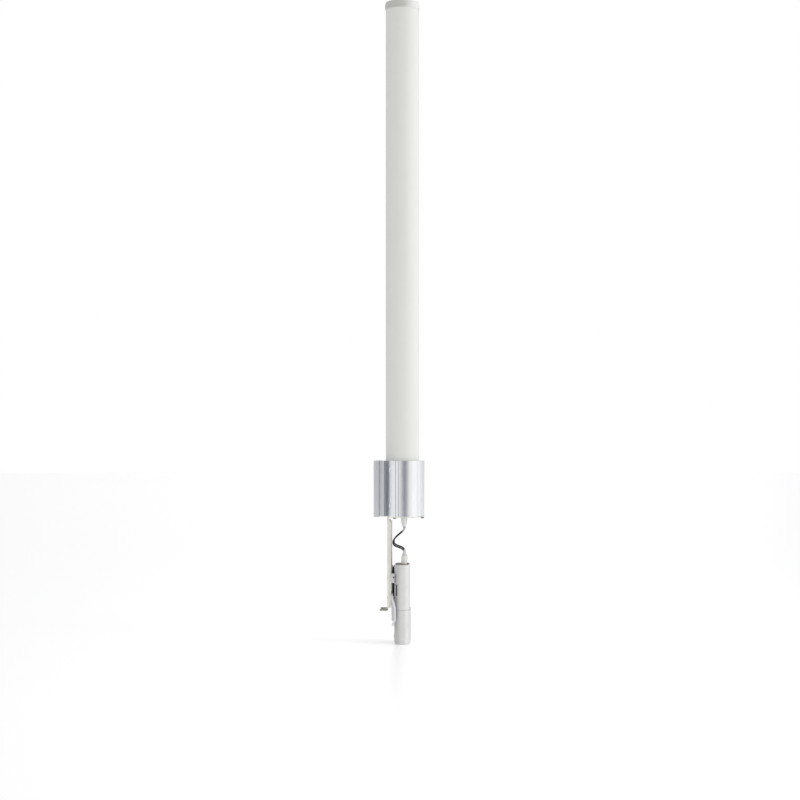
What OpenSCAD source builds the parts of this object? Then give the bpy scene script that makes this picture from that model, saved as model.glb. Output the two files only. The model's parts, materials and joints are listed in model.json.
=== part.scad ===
// Pole-mount omnidirectional antenna with a slim radio clipped below it.
// The origin is on the pole's axis at the middle of the mounting extrusion.
// +Z runs up the pole and +X points from the pole to the radome.

/* [Radome] */
// Outer diameter of the radome tube
radome_d = 64; // [62:0.5:64]
// Wall thickness of the radome tube
radome_wall = 2.2; // [2:0.1:2.3]
// Height of the cap's top above the middle of the extrusion
antenna_top = 946; // [940:1:1100]
// Distance from the pole's axis to the radome's axis
radome_offset = 63.5; // [63.5:0.1:64]

/* [Mounting extrusion] */
// Length of the extrusion along the pole
extrusion_h = 108; // [104:1:110]
// Outer diameter of the ring around the radome's foot
ring_d = 76; // [76:0.5:77]
// Diameter of the pole seat
seat_d = 51; // [50.8:0.1:51]
// Width across the two clamp ears
ears_w = 90; // [88:1:94]
// Thickness of a clamp ear
ear_t = 9.8; // [9:0.1:10.4]
// Diameter of the clamp bolt holes
bolt_hole_d = 8.5; // [8.2:0.1:9]
// Spacing of the clamp bolts across the pole
bolts_y = 72; // [70:1:74]
// Spacing of the clamp bolts along the pole
bolts_z = 70; // [60:1:76]

/* [Radio bracket] */
// Thickness of the folded sheet
sheet_t = 2; // [1.8:0.1:2]
// Width of the folded sheet's web
web_w = 56; // [54:1:58]
// Drop of the web below the extrusion
web_drop = 181; // [181:1:184]
// Angle between the two flanks of the pole notch
notch_angle = 113; // [110:1:114]

/* [Radio] */
// Width of the radio
radio_w = 80; // [79.5:0.1:80]
// Thickness of the radio
radio_t = 29.2; // [29:0.1:29.3]
// Height of the radio's rim below the middle of the extrusion
radio_top = -146.5; // [-146.8:0.1:-146.3]
// Height of the seam where the port cover begins
seam_z = -233; // [-233:0.1:-232.8]
// Height of the port cover's underside
radio_bottom = -299; // [-304:0.5:-298.5]
// Wall thickness of the radio's shells
shell_t = 2; // [1.9:0.1:2]

/* [Leads] */
// Spacing of the two antenna leads
leads_y = 44; // [43:0.5:44]
// Outer diameter of a lead
lead_d = 2.8; // [2.6:0.1:3]

/* [Hidden] */
$fn = 64;

radome_r = radome_d / 2;
radome_bore_r = radome_r - radome_wall;
extrusion_foot = -extrusion_h / 2;
ring_bore_r = radome_r + 0.35;
plate_z = extrusion_foot - sheet_t;
plug_flange_t = 4;
radome_foot = extrusion_foot + plug_flange_t;
radome_head = antenna_top - 4.5;
cap_r = radome_r + 1.5;
ear_x = 9.5;
neck_w = 40;
neck_end = 29;
port_x = 39;
groove_x = -9.4;

// the plate's fasteners, from the radome's axis
screw_x = -14;
screw_y = 22;
vent_x = 19.5;
screw_r = 1.9;
head_r = 3.5;
head_t = 2.2;

// the folded bracket, from the radome's axis
web_x = -28.5;
flange_depth = 8;
flange_start = -60;
foot_z = extrusion_foot - web_drop;
foot_tip_x = 20.5;
notch_apex_x = 30.5;

// the coaxial connectors, from the radome's axis
jack_x = 4;
jack_y = leads_y / 2;
thread_r = 3.17;
thread_len = 8;
nut_r = 4.62;
hex_top = radio_top + 1.5;
ferrule_r = 2.25;
ferrule_top_len = 19;
ferrule_bottom_len = 22;

// the radio, from the radome's axis
radio_x = -0.1;
radio_r = radio_t / 2;
side_y = radio_w / 2 - radio_r;
tongue_gap = 1.7;
tongue_end = seam_z - 52;
split_x = 9;
boss_y = 22.5;
boss_zs = [radio_top - 19.5, seam_z + 7];
board_x = 3.2;
board_t = 1.6;
socket_h = 22;

// the cradle and its latch, from the radome's axis
cradle_x = -20.3;
cradle_t = 1.6;
cradle_top = -150;
cradle_foot = -236;
pivot_x = -18.65;
pivot_z = -208;
pivot_r = 1.5;
arm_y = 37;
arm_t = 3;
bar_x = -17.4;
bar_z = -262;

// the radiating column inside the radome
feed_w = 36;
feed_t = 1.6;
feed_foot = -49;
feed_top = antenna_top - 31;
dipole_count = 8;
dipole_step = (feed_top - 75) / dipole_count;
trace_t = 0.15;

// the route of an antenna lead between its two plugs: distance in front of the radome's
// axis, and height; the ends are at the plugs' ferrules
lead_route = [
    [4, -75], [4, -77.6], [2.6, -80.8], [0, -83.6], [-4, -87], [-8.4, -90.6],
    [-12.6, -94.6], [-16, -99.2], [-17, -104.4], [-15.2, -108.8], [-11, -111.6],
    [-6.2, -113.2], [-1.4, -114.8], [2.4, -117.2], [4, -120.4], [4, -123]
];
// the route of a pigtail inside the foot: distance from the middle, and height
pigtail_route = [
    [22, -40], [22, -36], [20, -31], [15.6, -26.8], [10.6, -23.8], [6, -20],
    [3, -15.4], [2, -10], [2, -5]
];

// ---- shapes that repeat ----

// everything that stands on the radome's axis
module at_radome() {
    translate([radome_offset, 0, 0]) children();
}

// a round bar along +X
module rod_x(r, len) {
    rotate([0, 90, 0]) cylinder(r = r, h = len);
}

// a round bar along +Y
module rod_y(r, len) {
    rotate([-90, 0, 0]) cylinder(r = r, h = len);
}

// a flat outline with half-round ends, across Y
module stadium(r, cx = radio_x) {
    translate([cx - r, -side_y]) square([2 * r, 2 * side_y]);
    for (s = [-1, 1]) translate([cx, s * side_y]) circle(r = r);
}

module stadium_block(r, z0, z1, cx = radio_x) {
    translate([0, 0, z0]) linear_extrude(z1 - z0) stadium(r, cx);
}

// a box given by its low and high corners
module block(low, high) {
    translate(low) cube(high - low);
}

// the two sides of the object
module both_sides() {
    children();
    mirror([0, 1, 0]) children();
}

function unit(v) = v / norm(v);
function tangent(p, i) = unit(p[min(i + 1, len(p) - 1)] - p[max(i - 1, 0)]);

// a round tube along a list of points; keep_out is a direction that the route never takes
module tube(points, r, keep_out, sides = 8) {
    rings = [for (i = [0:len(points) - 1])
        let (t = tangent(points, i), u = unit(cross(t, keep_out)), v = cross(t, u))
        for (k = [0:sides - 1])
            points[i] + r * (cos(360 * k / sides) * u + sin(360 * k / sides) * v)];
    last = sides * (len(points) - 1);
    walls = [for (i = [0:len(points) - 2], k = [0:sides - 1])
        let (a = i * sides + k, b = i * sides + (k + 1) % sides)
        [a, a + sides, b + sides, b]];
    ends = [[for (k = [0:sides - 1]) k], [for (k = [sides - 1:-1:0]) last + k]];
    polyhedron(points = rings, faces = concat(walls, ends));
}

// ---- antenna ----

module radome_tube() {
    color("whitesmoke") at_radome() translate([0, 0, radome_foot]) difference() {
        cylinder(r = radome_r, h = radome_head - radome_foot);
        translate([0, 0, -1]) cylinder(r = radome_bore_r, h = radome_head - radome_foot + 2);
    }
}

cap_edge = 3;
cap_h = 14;
skirt_h = 20;
module top_cap() {
    color("gainsboro") at_radome() translate([0, 0, antenna_top]) difference() {
        rotate_extrude() difference() {
            union() {
                translate([0, -cap_h]) square([cap_r, cap_h - cap_edge]);
                translate([0, -cap_edge]) square([cap_r - cap_edge, cap_edge]);
                intersection() {
                    translate([cap_r - cap_edge, -cap_edge]) circle(r = cap_edge);
                    translate([0, -cap_edge]) square([cap_r, cap_edge]);
                }
                translate([0, -skirt_h]) square([radome_bore_r, skirt_h - cap_edge]);
            }
            translate([radome_bore_r, -cap_h - 1])
                square([radome_wall, cap_h + 1 + radome_head - antenna_top]);
            translate([radome_bore_r - 1, -cap_h - 3]) square([2, 2]);
        }
        translate([0, 0, -skirt_h - 1]) cylinder(r = radome_bore_r - 2.6, h = skirt_h - 3);
    }
}

module cap_seal() {
    color("dimgray") at_radome() translate([0, 0, antenna_top - cap_h - 3]) difference() {
        cylinder(r = radome_bore_r, h = 2);
        translate([0, 0, -1]) cylinder(r = radome_bore_r - 1, h = 4);
    }
}

module extrusion_profile() {
    difference() {
        union() {
            translate([radome_offset, 0]) circle(r = ring_d / 2);
            translate([radome_offset + port_x - 5, -4.5]) square([9.5, 9]);
            translate([ear_x, -ears_w / 2]) square([ear_t, ears_w]);
            translate([ear_x, -neck_w / 2]) square([neck_end - ear_x, neck_w]);
        }
        translate([radome_offset, 0]) circle(r = ring_bore_r);
        circle(r = seat_d / 2);
        translate([radome_offset + port_x, 0]) circle(r = screw_r);
        for (s = [-1, 1])
            translate([radome_offset + groove_x - 1.6, s * 37.3 - 1]) square([3.2, 2]);
    }
}

module mounting_extrusion() {
    color("silver") difference() {
        translate([0, 0, extrusion_foot]) linear_extrude(extrusion_h) extrusion_profile();
        for (y = [-1, 1], z = [-1, 1])
            translate([ear_x - 1, y * bolts_y / 2, z * bolts_z / 2])
                rod_x(bolt_hole_d / 2, ear_t + 2);
    }
}

plug_h = 24;
module base_plug() {
    color("dimgray") at_radome() translate([0, 0, extrusion_foot]) difference() {
        union() {
            cylinder(r = radome_r, h = plug_flange_t);
            difference() {
                cylinder(r = radome_bore_r, h = plug_h);
                cylinder(r = radome_bore_r - 2.2, h = plug_h + 1);
                translate([0, 0, plug_h - 8]) difference() {
                    cylinder(r = radome_bore_r + 1, h = 2);
                    translate([0, 0, -1]) cylinder(r = radome_bore_r - 1, h = 4);
                }
            }
            both_sides() translate([screw_x, screw_y, 0]) cylinder(r = 3.6, h = plug_h - 9);
        }
        both_sides() {
            translate([jack_x, jack_y, -1]) cylinder(r = thread_r, h = plug_h);
            translate([screw_x, screw_y, -1]) cylinder(r = screw_r, h = 14);
        }
        translate([vent_x, 0, -1]) cylinder(r = screw_r, h = plug_flange_t + 2);
    }
}

module base_seal() {
    color("black") at_radome() translate([0, 0, extrusion_foot + plug_h - 8]) difference() {
        cylinder(r = radome_bore_r, h = 2);
        translate([0, 0, -1]) cylinder(r = radome_bore_r - 1, h = 4);
    }
}

// ---- folded bracket ----

module bracket_plate() {
    translate([0, 0, plate_z]) linear_extrude(sheet_t) difference() {
        union() {
            translate([web_x, -web_w / 2]) square([18, web_w]);
            circle(r = 33);
            translate([0, -7]) square([port_x + 4.5, 14]);
        }
        translate([web_x - 30, -50]) square([30, 100]);
        both_sides() {
            translate([jack_x, jack_y]) circle(r = thread_r);
            translate([screw_x, screw_y]) circle(r = screw_r + 0.2);
        }
        translate([vent_x, 0]) circle(r = screw_r);
        translate([port_x, 0]) circle(r = screw_r + 0.2);
    }
}

module bracket_flange() {
    corner = 6;
    translate([0, web_w / 2, 0]) rotate([90, 0, 0]) linear_extrude(sheet_t) polygon([
        [web_x, foot_z], [web_x, flange_start], [web_x + sheet_t, flange_start],
        [web_x + flange_depth, flange_start - corner], [web_x + flange_depth, foot_z + corner],
        [web_x + flange_depth - corner, foot_z]
    ]);
}

module bracket_foot() {
    apex = notch_apex_x - radome_offset;
    mouth = foot_tip_x - radome_offset;
    spread = (apex - mouth + 1) * tan(notch_angle / 2);
    translate([0, 0, foot_z]) linear_extrude(sheet_t) difference() {
        translate([mouth, -web_w / 2]) square([web_x - mouth + sheet_t, web_w]);
        polygon([[apex, 0], [mouth - 1, spread], [mouth - 1, -spread]]);
    }
}

module radio_bracket() {
    color("tan") at_radome() union() {
        bracket_plate();
        difference() {
            block([web_x, -web_w / 2, foot_z], [web_x + sheet_t, web_w / 2, plate_z + sheet_t]);
            for (z = [-175, -212]) translate([web_x - 1, 0, z]) rod_x(screw_r + 0.2, 4);
        }
        both_sides() bracket_flange();
        bracket_foot();
    }
}

// a pan-head screw whose head hangs below z = 0
module plate_screw(len) {
    translate([0, 0, -head_t]) cylinder(r = head_r, h = head_t);
    cylinder(r = screw_r, h = len);
}

module bracket_screws() {
    color("dimgray") at_radome() translate([0, 0, plate_z]) {
        both_sides() translate([screw_x, screw_y, 0]) plate_screw(12);
        translate([port_x, 0, 0]) plate_screw(12);
    }
}

module vent_plug() {
    color("black") at_radome() translate([vent_x, 0, plate_z]) union() {
        translate([0, 0, -1.8]) cylinder(r = 2.4, h = 1.8);
        cylinder(r = screw_r, h = sheet_t + plug_flange_t);
    }
}

// ---- radiating column ----

function loop_z(i) = 110 + i * dipole_step;

module feed_board() {
    color("darkgreen") at_radome()
        block([-feed_w / 2, -feed_t / 2, feed_foot], [feed_w / 2, feed_t / 2, feed_top]);
}

module dipole_traces() {
    arm_h = 36;
    color("peru") at_radome() {
        for (i = [0:dipole_count - 1], s = [-1, 1]) {
            z = loop_z(i) - dipole_step / 2 + s * (arm_h / 2 + 2);
            block([-6, feed_t / 2, z - arm_h / 2], [6, feed_t / 2 + trace_t, z + arm_h / 2]);
        }
        block([-1.5, -feed_t / 2 - trace_t, 0], [1.5, -feed_t / 2, feed_top - 40]);
    }
}

module column_slot() {
    square([feed_w + 0.4, feed_t + 1], center = true);
}

module loop_boards() {
    color("darkgreen") at_radome() for (i = [0:dipole_count - 1])
        translate([0, 0, loop_z(i)]) linear_extrude(feed_t) difference() {
            circle(r = 25);
            column_slot();
        }
}

module loop_traces() {
    color("peru") at_radome() for (i = [0:dipole_count - 1])
        translate([0, 0, loop_z(i) + feed_t]) linear_extrude(trace_t) difference() {
            circle(r = 23.5);
            circle(r = 20.5);
            for (a = [0:45:135]) rotate([0, 0, a]) square([60, 3], center = true);
        }
}

module foam_spacers() {
    color("white") at_radome() for (i = [0:4])
        translate([0, 0, 53 + 2 * i * dipole_step]) linear_extrude(14) difference() {
            circle(r = radome_bore_r - 0.2);
            column_slot();
        }
}

module feed_pigtail() {
    tube([for (p = pigtail_route) [jack_x, p[0], p[1]]], 1.2, [1, 0, 0]);
}

module feed_pigtail_left() {
    color("saddlebrown") at_radome() feed_pigtail();
}

module feed_pigtail_right() {
    color("saddlebrown") at_radome() mirror([0, 1, 0]) feed_pigtail();
}

// ---- coaxial connectors: z = 0 is the face that the jack stands on ----

module jack_thread(len = thread_len) {
    difference() {
        cylinder(r = thread_r, h = len);
        translate([0, 0, 1]) cylinder(r = 1.1, h = len);
    }
}

module base_jack() {
    translate([jack_x, jack_y, plate_z]) union() {
        mirror([0, 0, 1]) jack_thread();
        cylinder(r = thread_r, h = sheet_t + plug_flange_t);
        translate([0, 0, sheet_t + plug_flange_t]) cylinder(r = nut_r, h = 3, $fn = 6);
        translate([0, 0, sheet_t + plug_flange_t]) cylinder(r = 2.2, h = 10);
    }
}

module base_jack_left() {
    color("gold") at_radome() base_jack();
}

module base_jack_right() {
    color("gold") at_radome() mirror([0, 1, 0]) base_jack();
}

module base_jack_nuts() {
    color("gold") at_radome() both_sides() translate([jack_x, jack_y, plate_z - 2])
        difference() {
            cylinder(r = 4.3, h = 2, $fn = 6);
            translate([0, 0, -1]) cylinder(r = thread_r, h = 4);
        }
}

// the moulded boot, straight and then tapered to its tail
module boot(straight, tail_r) {
    len = 16.5;
    difference() {
        union() {
            translate([0, 0, 0.6]) cylinder(r = 5.6, h = straight - 0.6);
            translate([0, 0, straight]) cylinder(r1 = 5.6, r2 = tail_r, h = len - straight);
        }
        cylinder(r = 4.9, h = 11.6);
        cylinder(r = ferrule_r + 0.35, h = len + 1);
    }
}

module coupling_nut() {
    difference() {
        translate([0, 0, 3.6]) cylinder(r = nut_r, h = 7.9, $fn = 6);
        cylinder(r = thread_r + 0.07, h = 10.1);
        cylinder(r = ferrule_r + 0.08, h = 12);
    }
}

// the plug's own body: contact pin, shoulder and crimped ferrule
module plug_body(len) {
    translate([0, 0, 4]) cylinder(r = 0.5, h = 5);
    translate([0, 0, 8.4]) cylinder(r = 2.9, h = 1.5);
    translate([0, 0, 8.4]) cylinder(r = ferrule_r, h = len - 8.4);
}

module on_antenna() {
    translate([radome_offset + jack_x, jack_y, plate_z]) mirror([0, 0, 1]) children();
}

module on_radio() {
    translate([radome_offset + jack_x, jack_y, hex_top]) children();
}

module boot_top_left() { color("lightgray") on_antenna() boot(9.5, 3.6); }
module boot_top_right() { color("lightgray") mirror([0, 1, 0]) on_antenna() boot(9.5, 3.6); }
module boot_bottom_left() { color("lightgray") on_radio() boot(13.5, 4.6); }
module boot_bottom_right() { color("lightgray") mirror([0, 1, 0]) on_radio() boot(13.5, 4.6); }
module coupling_nut_top_left() { color("gold") on_antenna() coupling_nut(); }
module coupling_nut_top_right() { color("gold") mirror([0, 1, 0]) on_antenna() coupling_nut(); }
module coupling_nut_bottom_left() { color("gold") on_radio() coupling_nut(); }
module coupling_nut_bottom_right() { color("gold") mirror([0, 1, 0]) on_radio() coupling_nut(); }

module plug_bodies_top() {
    color("slategray") both_sides() on_antenna() union() plug_body(ferrule_top_len);
}

module plug_bodies_bottom() {
    color("white") both_sides() on_radio() union() plug_body(ferrule_bottom_len);
}

module rf_lead() {
    tube([for (p = lead_route) [p[0], jack_y, p[1]]], lead_d / 2, [0, 1, 0]);
}

module rf_lead_left() {
    color("black") at_radome() rf_lead();
}

module rf_lead_right() {
    color("black") at_radome() mirror([0, 1, 0]) rf_lead();
}

// ---- cradle and latch ----

hook_z = [-181, -163];
module cradle_hook() {
    block([cradle_x, 23, hook_z[0]], [cradle_x + cradle_t, 37, hook_z[1]]);
    block([cradle_x, 33, hook_z[0]], [-13.7, 37, hook_z[1]]);
    block([-16.2, 16.4, hook_z[0]], [-15.3, 34, hook_z[1]]);
}

module cradle() {
    color("gainsboro") at_radome() difference() {
        union() {
            block([cradle_x, -24, cradle_foot], [cradle_x + cradle_t, 24, cradle_top]);
            block([web_x + sheet_t, -16, -222], [cradle_x, 16, -164]);
            block([cradle_x, -16, cradle_foot], [-15.6, 16, seam_z + 0.7]);
            both_sides() {
                cradle_hook();
                block([cradle_x, 23, pivot_z - 6], [-17, 30, pivot_z + 6]);
            }
        }
        for (z = [-175, -212]) translate([web_x, 0, z]) rod_x(screw_r, 7);
        translate([pivot_x, -31, pivot_z]) rod_y(pivot_r, 62);
        both_sides() translate([-15.5, 36, -170]) rod_y(1.4, 2);
    }
}

module hook_pins() {
    color("black") at_radome() both_sides() translate([-15.5, 36, -170]) rod_y(1.4, 1.4);
}

module cradle_screws() {
    color("dimgray") at_radome() for (z = [-175, -212]) translate([web_x, 0, z]) union() {
        translate([-head_t, 0, 0]) rod_x(head_r, head_t);
        rod_x(screw_r, 6.5);
    }
}

arm_w = 3.4;
arm_route = [[pivot_x, pivot_z], [-12.6, -230], [-12.6, -251], [-17, -262]];

// a point of the arm's edge, level with one point of its middle line
function bend(i) = let (a = arm_route[max(i - 1, 0)], b = arm_route[i],
    c = arm_route[min(i + 1, len(arm_route) - 1)], d = unit(c - a), e = unit(i == 0 ? c - b : b - a))
    [-d[1], d[0]] * arm_w / 2 / (d * e);
function arm_outline() = let (n = len(arm_route)) concat(
    [for (i = [0:n - 1]) arm_route[i] + bend(i)], [for (i = [n - 1:-1:0]) arm_route[i] - bend(i)]);

// the arm, its eye, and the thin web behind it
module latch_arm() {
    eye = arm_route[0];
    difference() {
        union() {
            translate([0, arm_y + arm_t, 0]) rotate([90, 0, 0]) linear_extrude(arm_t)
                polygon(arm_outline());
            translate([eye[0], arm_y, eye[1]]) rod_y(3, arm_t);
            translate([0, arm_y + 2, 0]) rotate([90, 0, 0]) linear_extrude(1.4) polygon([
                [-19.8, -212], [-17.5, -212], [-13, -229], [-13, -252], [-19.4, -254], [-19.8, -234]
            ]);
        }
        translate([eye[0], arm_y - 1, eye[1]]) rod_y(pivot_r + 0.06, arm_t + 2);
    }
}

module latch_bail() {
    color("white") at_radome() union() {
        both_sides() latch_arm();
        translate([bar_x, -arm_y - arm_t, bar_z]) rod_y(2.2, 2 * (arm_y + arm_t));
    }
}

module latch_pins() {
    color("silver") at_radome() both_sides() translate([pivot_x, 24, pivot_z]) rod_y(pivot_r, 16);
}

// torsion springs on the latch's pins
module latch_springs() {
    turns = 4;
    steps = 9;
    color("silver") at_radome() both_sides() tube([
        for (i = [0:turns * steps]) let (a = 360 * i / steps)
            [pivot_x + 2.4 * cos(a), 31.2 + 4.6 * i / (turns * steps), pivot_z + 2.4 * sin(a)]
    ], 0.4, [0, 1, 0], 6);
}

// ---- radio ----

rail_top = -150;
module mount_rail() {
    neck_x = radio_x - radio_r;
    color("black") at_radome() union() {
        block([-16.5, -16, seam_z + 1], [neck_x, 16, rail_top]);
        rotate([90, 0, 0]) translate([0, 0, -20]) linear_extrude(40) polygon([
            [-16.5, seam_z + 1], [-16.5, rail_top], [-18.4, rail_top - 4], [-18.4, seam_z + 1]
        ]);
    }
}

module shell_outside() {
    stadium_block(radio_r, seam_z, radio_top);
    stadium_block(radio_r - tongue_gap, tongue_end, seam_z + 1);
}

module shell_inside() {
    stadium_block(radio_r - shell_t, seam_z + shell_t, radio_top + 1);
    stadium_block(radio_r - tongue_gap - shell_t, tongue_end + shell_t, seam_z + 3);
}

module side_slots() {
    both_sides() block([-11.8, 34.7, -206], [-8.7, 41, -184]);
}

module screw_bosses(x0, x1) {
    for (y = [-1, 1], z = boss_zs) translate([x0, y * boss_y, z]) rod_x(3.2, x1 - x0);
}

module boss_holes(r, x0, x1) {
    for (y = [-1, 1], z = boss_zs) translate([x0, y * boss_y, z]) rod_x(r, x1 - x0);
}

module radio_rear_shell() {
    back = radio_x - radio_r;
    color("gainsboro") at_radome() difference() {
        union() {
            intersection() {
                difference() {
                    shell_outside();
                    shell_inside();
                }
                block([-20, -50, -300], [split_x, 50, 0]);
            }
            screw_bosses(back + 1, split_x);
        }
        side_slots();
        boss_holes(1.5, back + 1, split_x + 1);
        boss_holes(2.9, back - 1, back + 1.7);
        block([-10.4, -8.1, tongue_end - 1], [board_x + 0.1, 8.1, tongue_end + 4]);
        translate([0, 16, tongue_end - 1]) cylinder(r = 1.56, h = 4);
    }
}

light_count = 6;
light_pitch = 6;
light_z = -222;
function light_y(i) = (i - (light_count - 1) / 2) * light_pitch;
module radio_front_shell() {
    front = radio_x + radio_r;
    color("whitesmoke") at_radome() difference() {
        union() {
            intersection() {
                difference() {
                    shell_outside();
                    shell_inside();
                }
                block([split_x, -50, -300], [30, 50, 0]);
            }
            screw_bosses(split_x, front - 1);
        }
        boss_holes(1.4, split_x - 1, front - 2.5);
        for (i = [0:light_count - 1]) translate([split_x, light_y(i), light_z]) rod_x(0.95, 10);
    }
}

module radio_top_plate() {
    color("darkslategray") at_radome() difference() {
        stadium_block(radio_r - shell_t, radio_top - 4, radio_top - 2);
        both_sides() translate([jack_x, jack_y, radio_top - 10]) cylinder(r = thread_r, h = 10);
    }
}

module top_gasket() {
    color("black") at_radome() difference() {
        stadium_block(radio_r - shell_t, radio_top - 5.5, radio_top - 4);
        stadium_block(radio_r - shell_t - 1.7, radio_top - 6, radio_top - 3);
    }
}

module radio_board() {
    color("darkgreen") at_radome() difference() {
        union() {
            block([board_x, -28, seam_z + 5], [board_x + board_t, 28, radio_top - 12]);
            block([board_x, -26, tongue_end + 5], [board_x + board_t, 26, seam_z + 6]);
            block([-1, 13, tongue_end + 5], [board_x + 0.4, 19, tongue_end + 9]);
        }
        for (y = [-1, 1], z = boss_zs)
            translate([board_x - 1, y * boss_y, z]) rod_x(3.6, board_t + 2);
    }
}

module radio_shield() {
    color("silver") at_radome() block([-1, -18, -215], [board_x, 18, -172]);
}

module ethernet_jack() {
    color("silver") at_radome() difference() {
        block([-10.3, -8, tongue_end], [board_x, 8, tongue_end + socket_h]);
        block([-9.2, -6, tongue_end - 1], [1.8, 6, tongue_end + socket_h - 6]);
    }
}

module light_pipes() {
    front = radio_x + radio_r;
    color("lightblue") at_radome() for (i = [0:light_count - 1])
        translate([front - 4, light_y(i), light_z]) rod_x(0.95, 4);
}

module shell_screws() {
    back = radio_x - radio_r;
    color("dimgray") at_radome() for (y = [-1, 1], z = boss_zs)
        translate([back, y * boss_y, z]) union() {
            rod_x(2.9, 1.7);
            rod_x(1.4, split_x - back + 3);
        }
}

module radio_jack() {
    translate([jack_x, jack_y, radio_top - 2]) union() {
        cylinder(r = 5.5, h = 3.5, $fn = 6);
        translate([0, 0, 3.5]) jack_thread();
        translate([0, 0, -8.5]) cylinder(r = thread_r, h = 8.5);
    }
}

module radio_jack_left() {
    color("gold") at_radome() radio_jack();
}

module radio_jack_right() {
    color("gold") at_radome() mirror([0, 1, 0]) radio_jack();
}

cover_x = 0.7;
cover_r = 15.4;
module port_cover() {
    inside_r = radio_r - tongue_gap + 0.4;
    color("gainsboro") at_radome() difference() {
        union() {
            stadium_block(cover_r, radio_bottom, seam_z - 0.3, cover_x);
            block([-16.2, -6, -290], [-13.8, 6, -281]);
        }
        stadium_block(inside_r, radio_bottom + 3.5, seam_z + 1);
        block([-9.7, -6.5, radio_bottom - 1], [2.3, 6.5, radio_bottom + 5]);
    }
}

module reset_button() {
    color("black") at_radome() translate([0, 16, 0]) union() {
        translate([0, 0, tongue_end - 1.2]) cylinder(r = 1.5, h = 5);
        translate([0, 0, tongue_end + 2.3]) cylinder(r = 2.4, h = 0.8);
    }
}

radome_tube();
top_cap();
cap_seal();
mounting_extrusion();
base_plug();
base_seal();
radio_bracket();
bracket_screws();
vent_plug();
feed_board();
dipole_traces();
loop_boards();
loop_traces();
foam_spacers();
feed_pigtail_left();
feed_pigtail_right();
base_jack_left();
base_jack_right();
base_jack_nuts();
boot_top_left();
boot_top_right();
boot_bottom_left();
boot_bottom_right();
coupling_nut_top_left();
coupling_nut_top_right();
coupling_nut_bottom_left();
coupling_nut_bottom_right();
plug_bodies_top();
plug_bodies_bottom();
rf_lead_left();
rf_lead_right();
cradle();
hook_pins();
cradle_screws();
latch_bail();
latch_pins();
latch_springs();
mount_rail();
radio_rear_shell();
radio_front_shell();
radio_top_plate();
top_gasket();
radio_board();
radio_shield();
ethernet_jack();
light_pipes();
shell_screws();
radio_jack_left();
radio_jack_right();
port_cover();
reset_button();
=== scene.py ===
import json
import math

import bmesh
import bpy
from mathutils import Matrix, Vector


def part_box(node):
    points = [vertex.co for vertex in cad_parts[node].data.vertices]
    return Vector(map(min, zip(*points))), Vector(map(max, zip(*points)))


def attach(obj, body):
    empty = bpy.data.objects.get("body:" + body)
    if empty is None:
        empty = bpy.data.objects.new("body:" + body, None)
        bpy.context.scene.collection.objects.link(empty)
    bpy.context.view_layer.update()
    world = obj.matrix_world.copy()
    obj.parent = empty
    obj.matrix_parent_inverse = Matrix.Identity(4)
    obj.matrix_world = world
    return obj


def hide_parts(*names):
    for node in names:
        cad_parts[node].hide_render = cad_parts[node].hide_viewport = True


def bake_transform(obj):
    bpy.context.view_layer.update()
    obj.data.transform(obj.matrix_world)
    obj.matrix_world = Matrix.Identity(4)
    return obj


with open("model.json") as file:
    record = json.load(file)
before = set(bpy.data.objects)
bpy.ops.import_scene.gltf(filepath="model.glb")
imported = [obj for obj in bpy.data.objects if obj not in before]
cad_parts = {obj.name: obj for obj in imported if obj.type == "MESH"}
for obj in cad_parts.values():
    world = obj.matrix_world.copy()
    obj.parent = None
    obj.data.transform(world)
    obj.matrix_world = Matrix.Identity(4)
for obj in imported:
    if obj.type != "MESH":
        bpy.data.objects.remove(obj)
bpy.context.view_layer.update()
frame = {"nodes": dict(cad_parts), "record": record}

# Shapes are drawn in millimetres from the radome's axis, and a finished mesh is moved
# into the row frame, in metres, by TO_ROW.
MM = 0.001
tube_low, tube_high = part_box("radome_tube")
AXIS_X = (tube_low.x + tube_high.x) / 2
POLE_X = -AXIS_X / MM
TO_ROW = Matrix.Translation((AXIS_X, 0, 0)) @ Matrix.Scale(MM, 4)


def extent(node):
    """The lowest and highest corner of a CAD node, in millimetres from the radome's axis."""
    shift = Vector((AXIS_X, 0, 0))
    low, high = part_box(node)
    return (low - shift) / MM, (high - shift) / MM


# Places that a shape and its finish share, in millimetres.
GROOVE_X = (-11.8, -6.3)
SLIT = 0.6
LATCH_WEB_Y = (37.6, 39)
SIDE_SLOT_X = (-11.8, -8.7)
SIDE_SLOT_Z = (-206, -184)

# ---------------------------------------------------------------- camera and studio

LENS_MM = 90
CAMERA_DISTANCE = 3.887
CAMERA_AZIMUTH = math.radians(2.0)
CAMERA_HEIGHT = 0.12
AIM = Vector((AXIS_X - 0.0045, 0, 0.1715))


def set_camera():
    """A long lens at the height of the lower third, tilted up a little, with floor left below."""
    camera = bpy.data.objects.new("camera", bpy.data.cameras.new("camera"))
    camera.data.lens = LENS_MM
    camera.data.sensor_width = 36
    camera.data.clip_end = 60
    away = Vector((math.sin(CAMERA_AZIMUTH), -math.cos(CAMERA_AZIMUTH), 0))
    camera.location = Vector((AIM.x, AIM.y, CAMERA_HEIGHT)) + CAMERA_DISTANCE * away
    camera.rotation_euler = (AIM - camera.location).to_track_quat("-Z", "Y").to_euler()
    bpy.context.scene.collection.objects.link(camera)
    bpy.context.scene.camera = camera
    bpy.context.scene.view_settings.view_transform = "Standard"


set_camera()

# ---------------------------------------------------------------- node helpers


def plug(tree, socket, item):
    """Give a socket a link, where the item comes from another node, or a plain value."""
    if isinstance(item, Value):
        item = item.socket
    if isinstance(item, bpy.types.NodeSocket):
        tree.links.new(item, socket)
    else:
        socket.default_value = item


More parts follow.
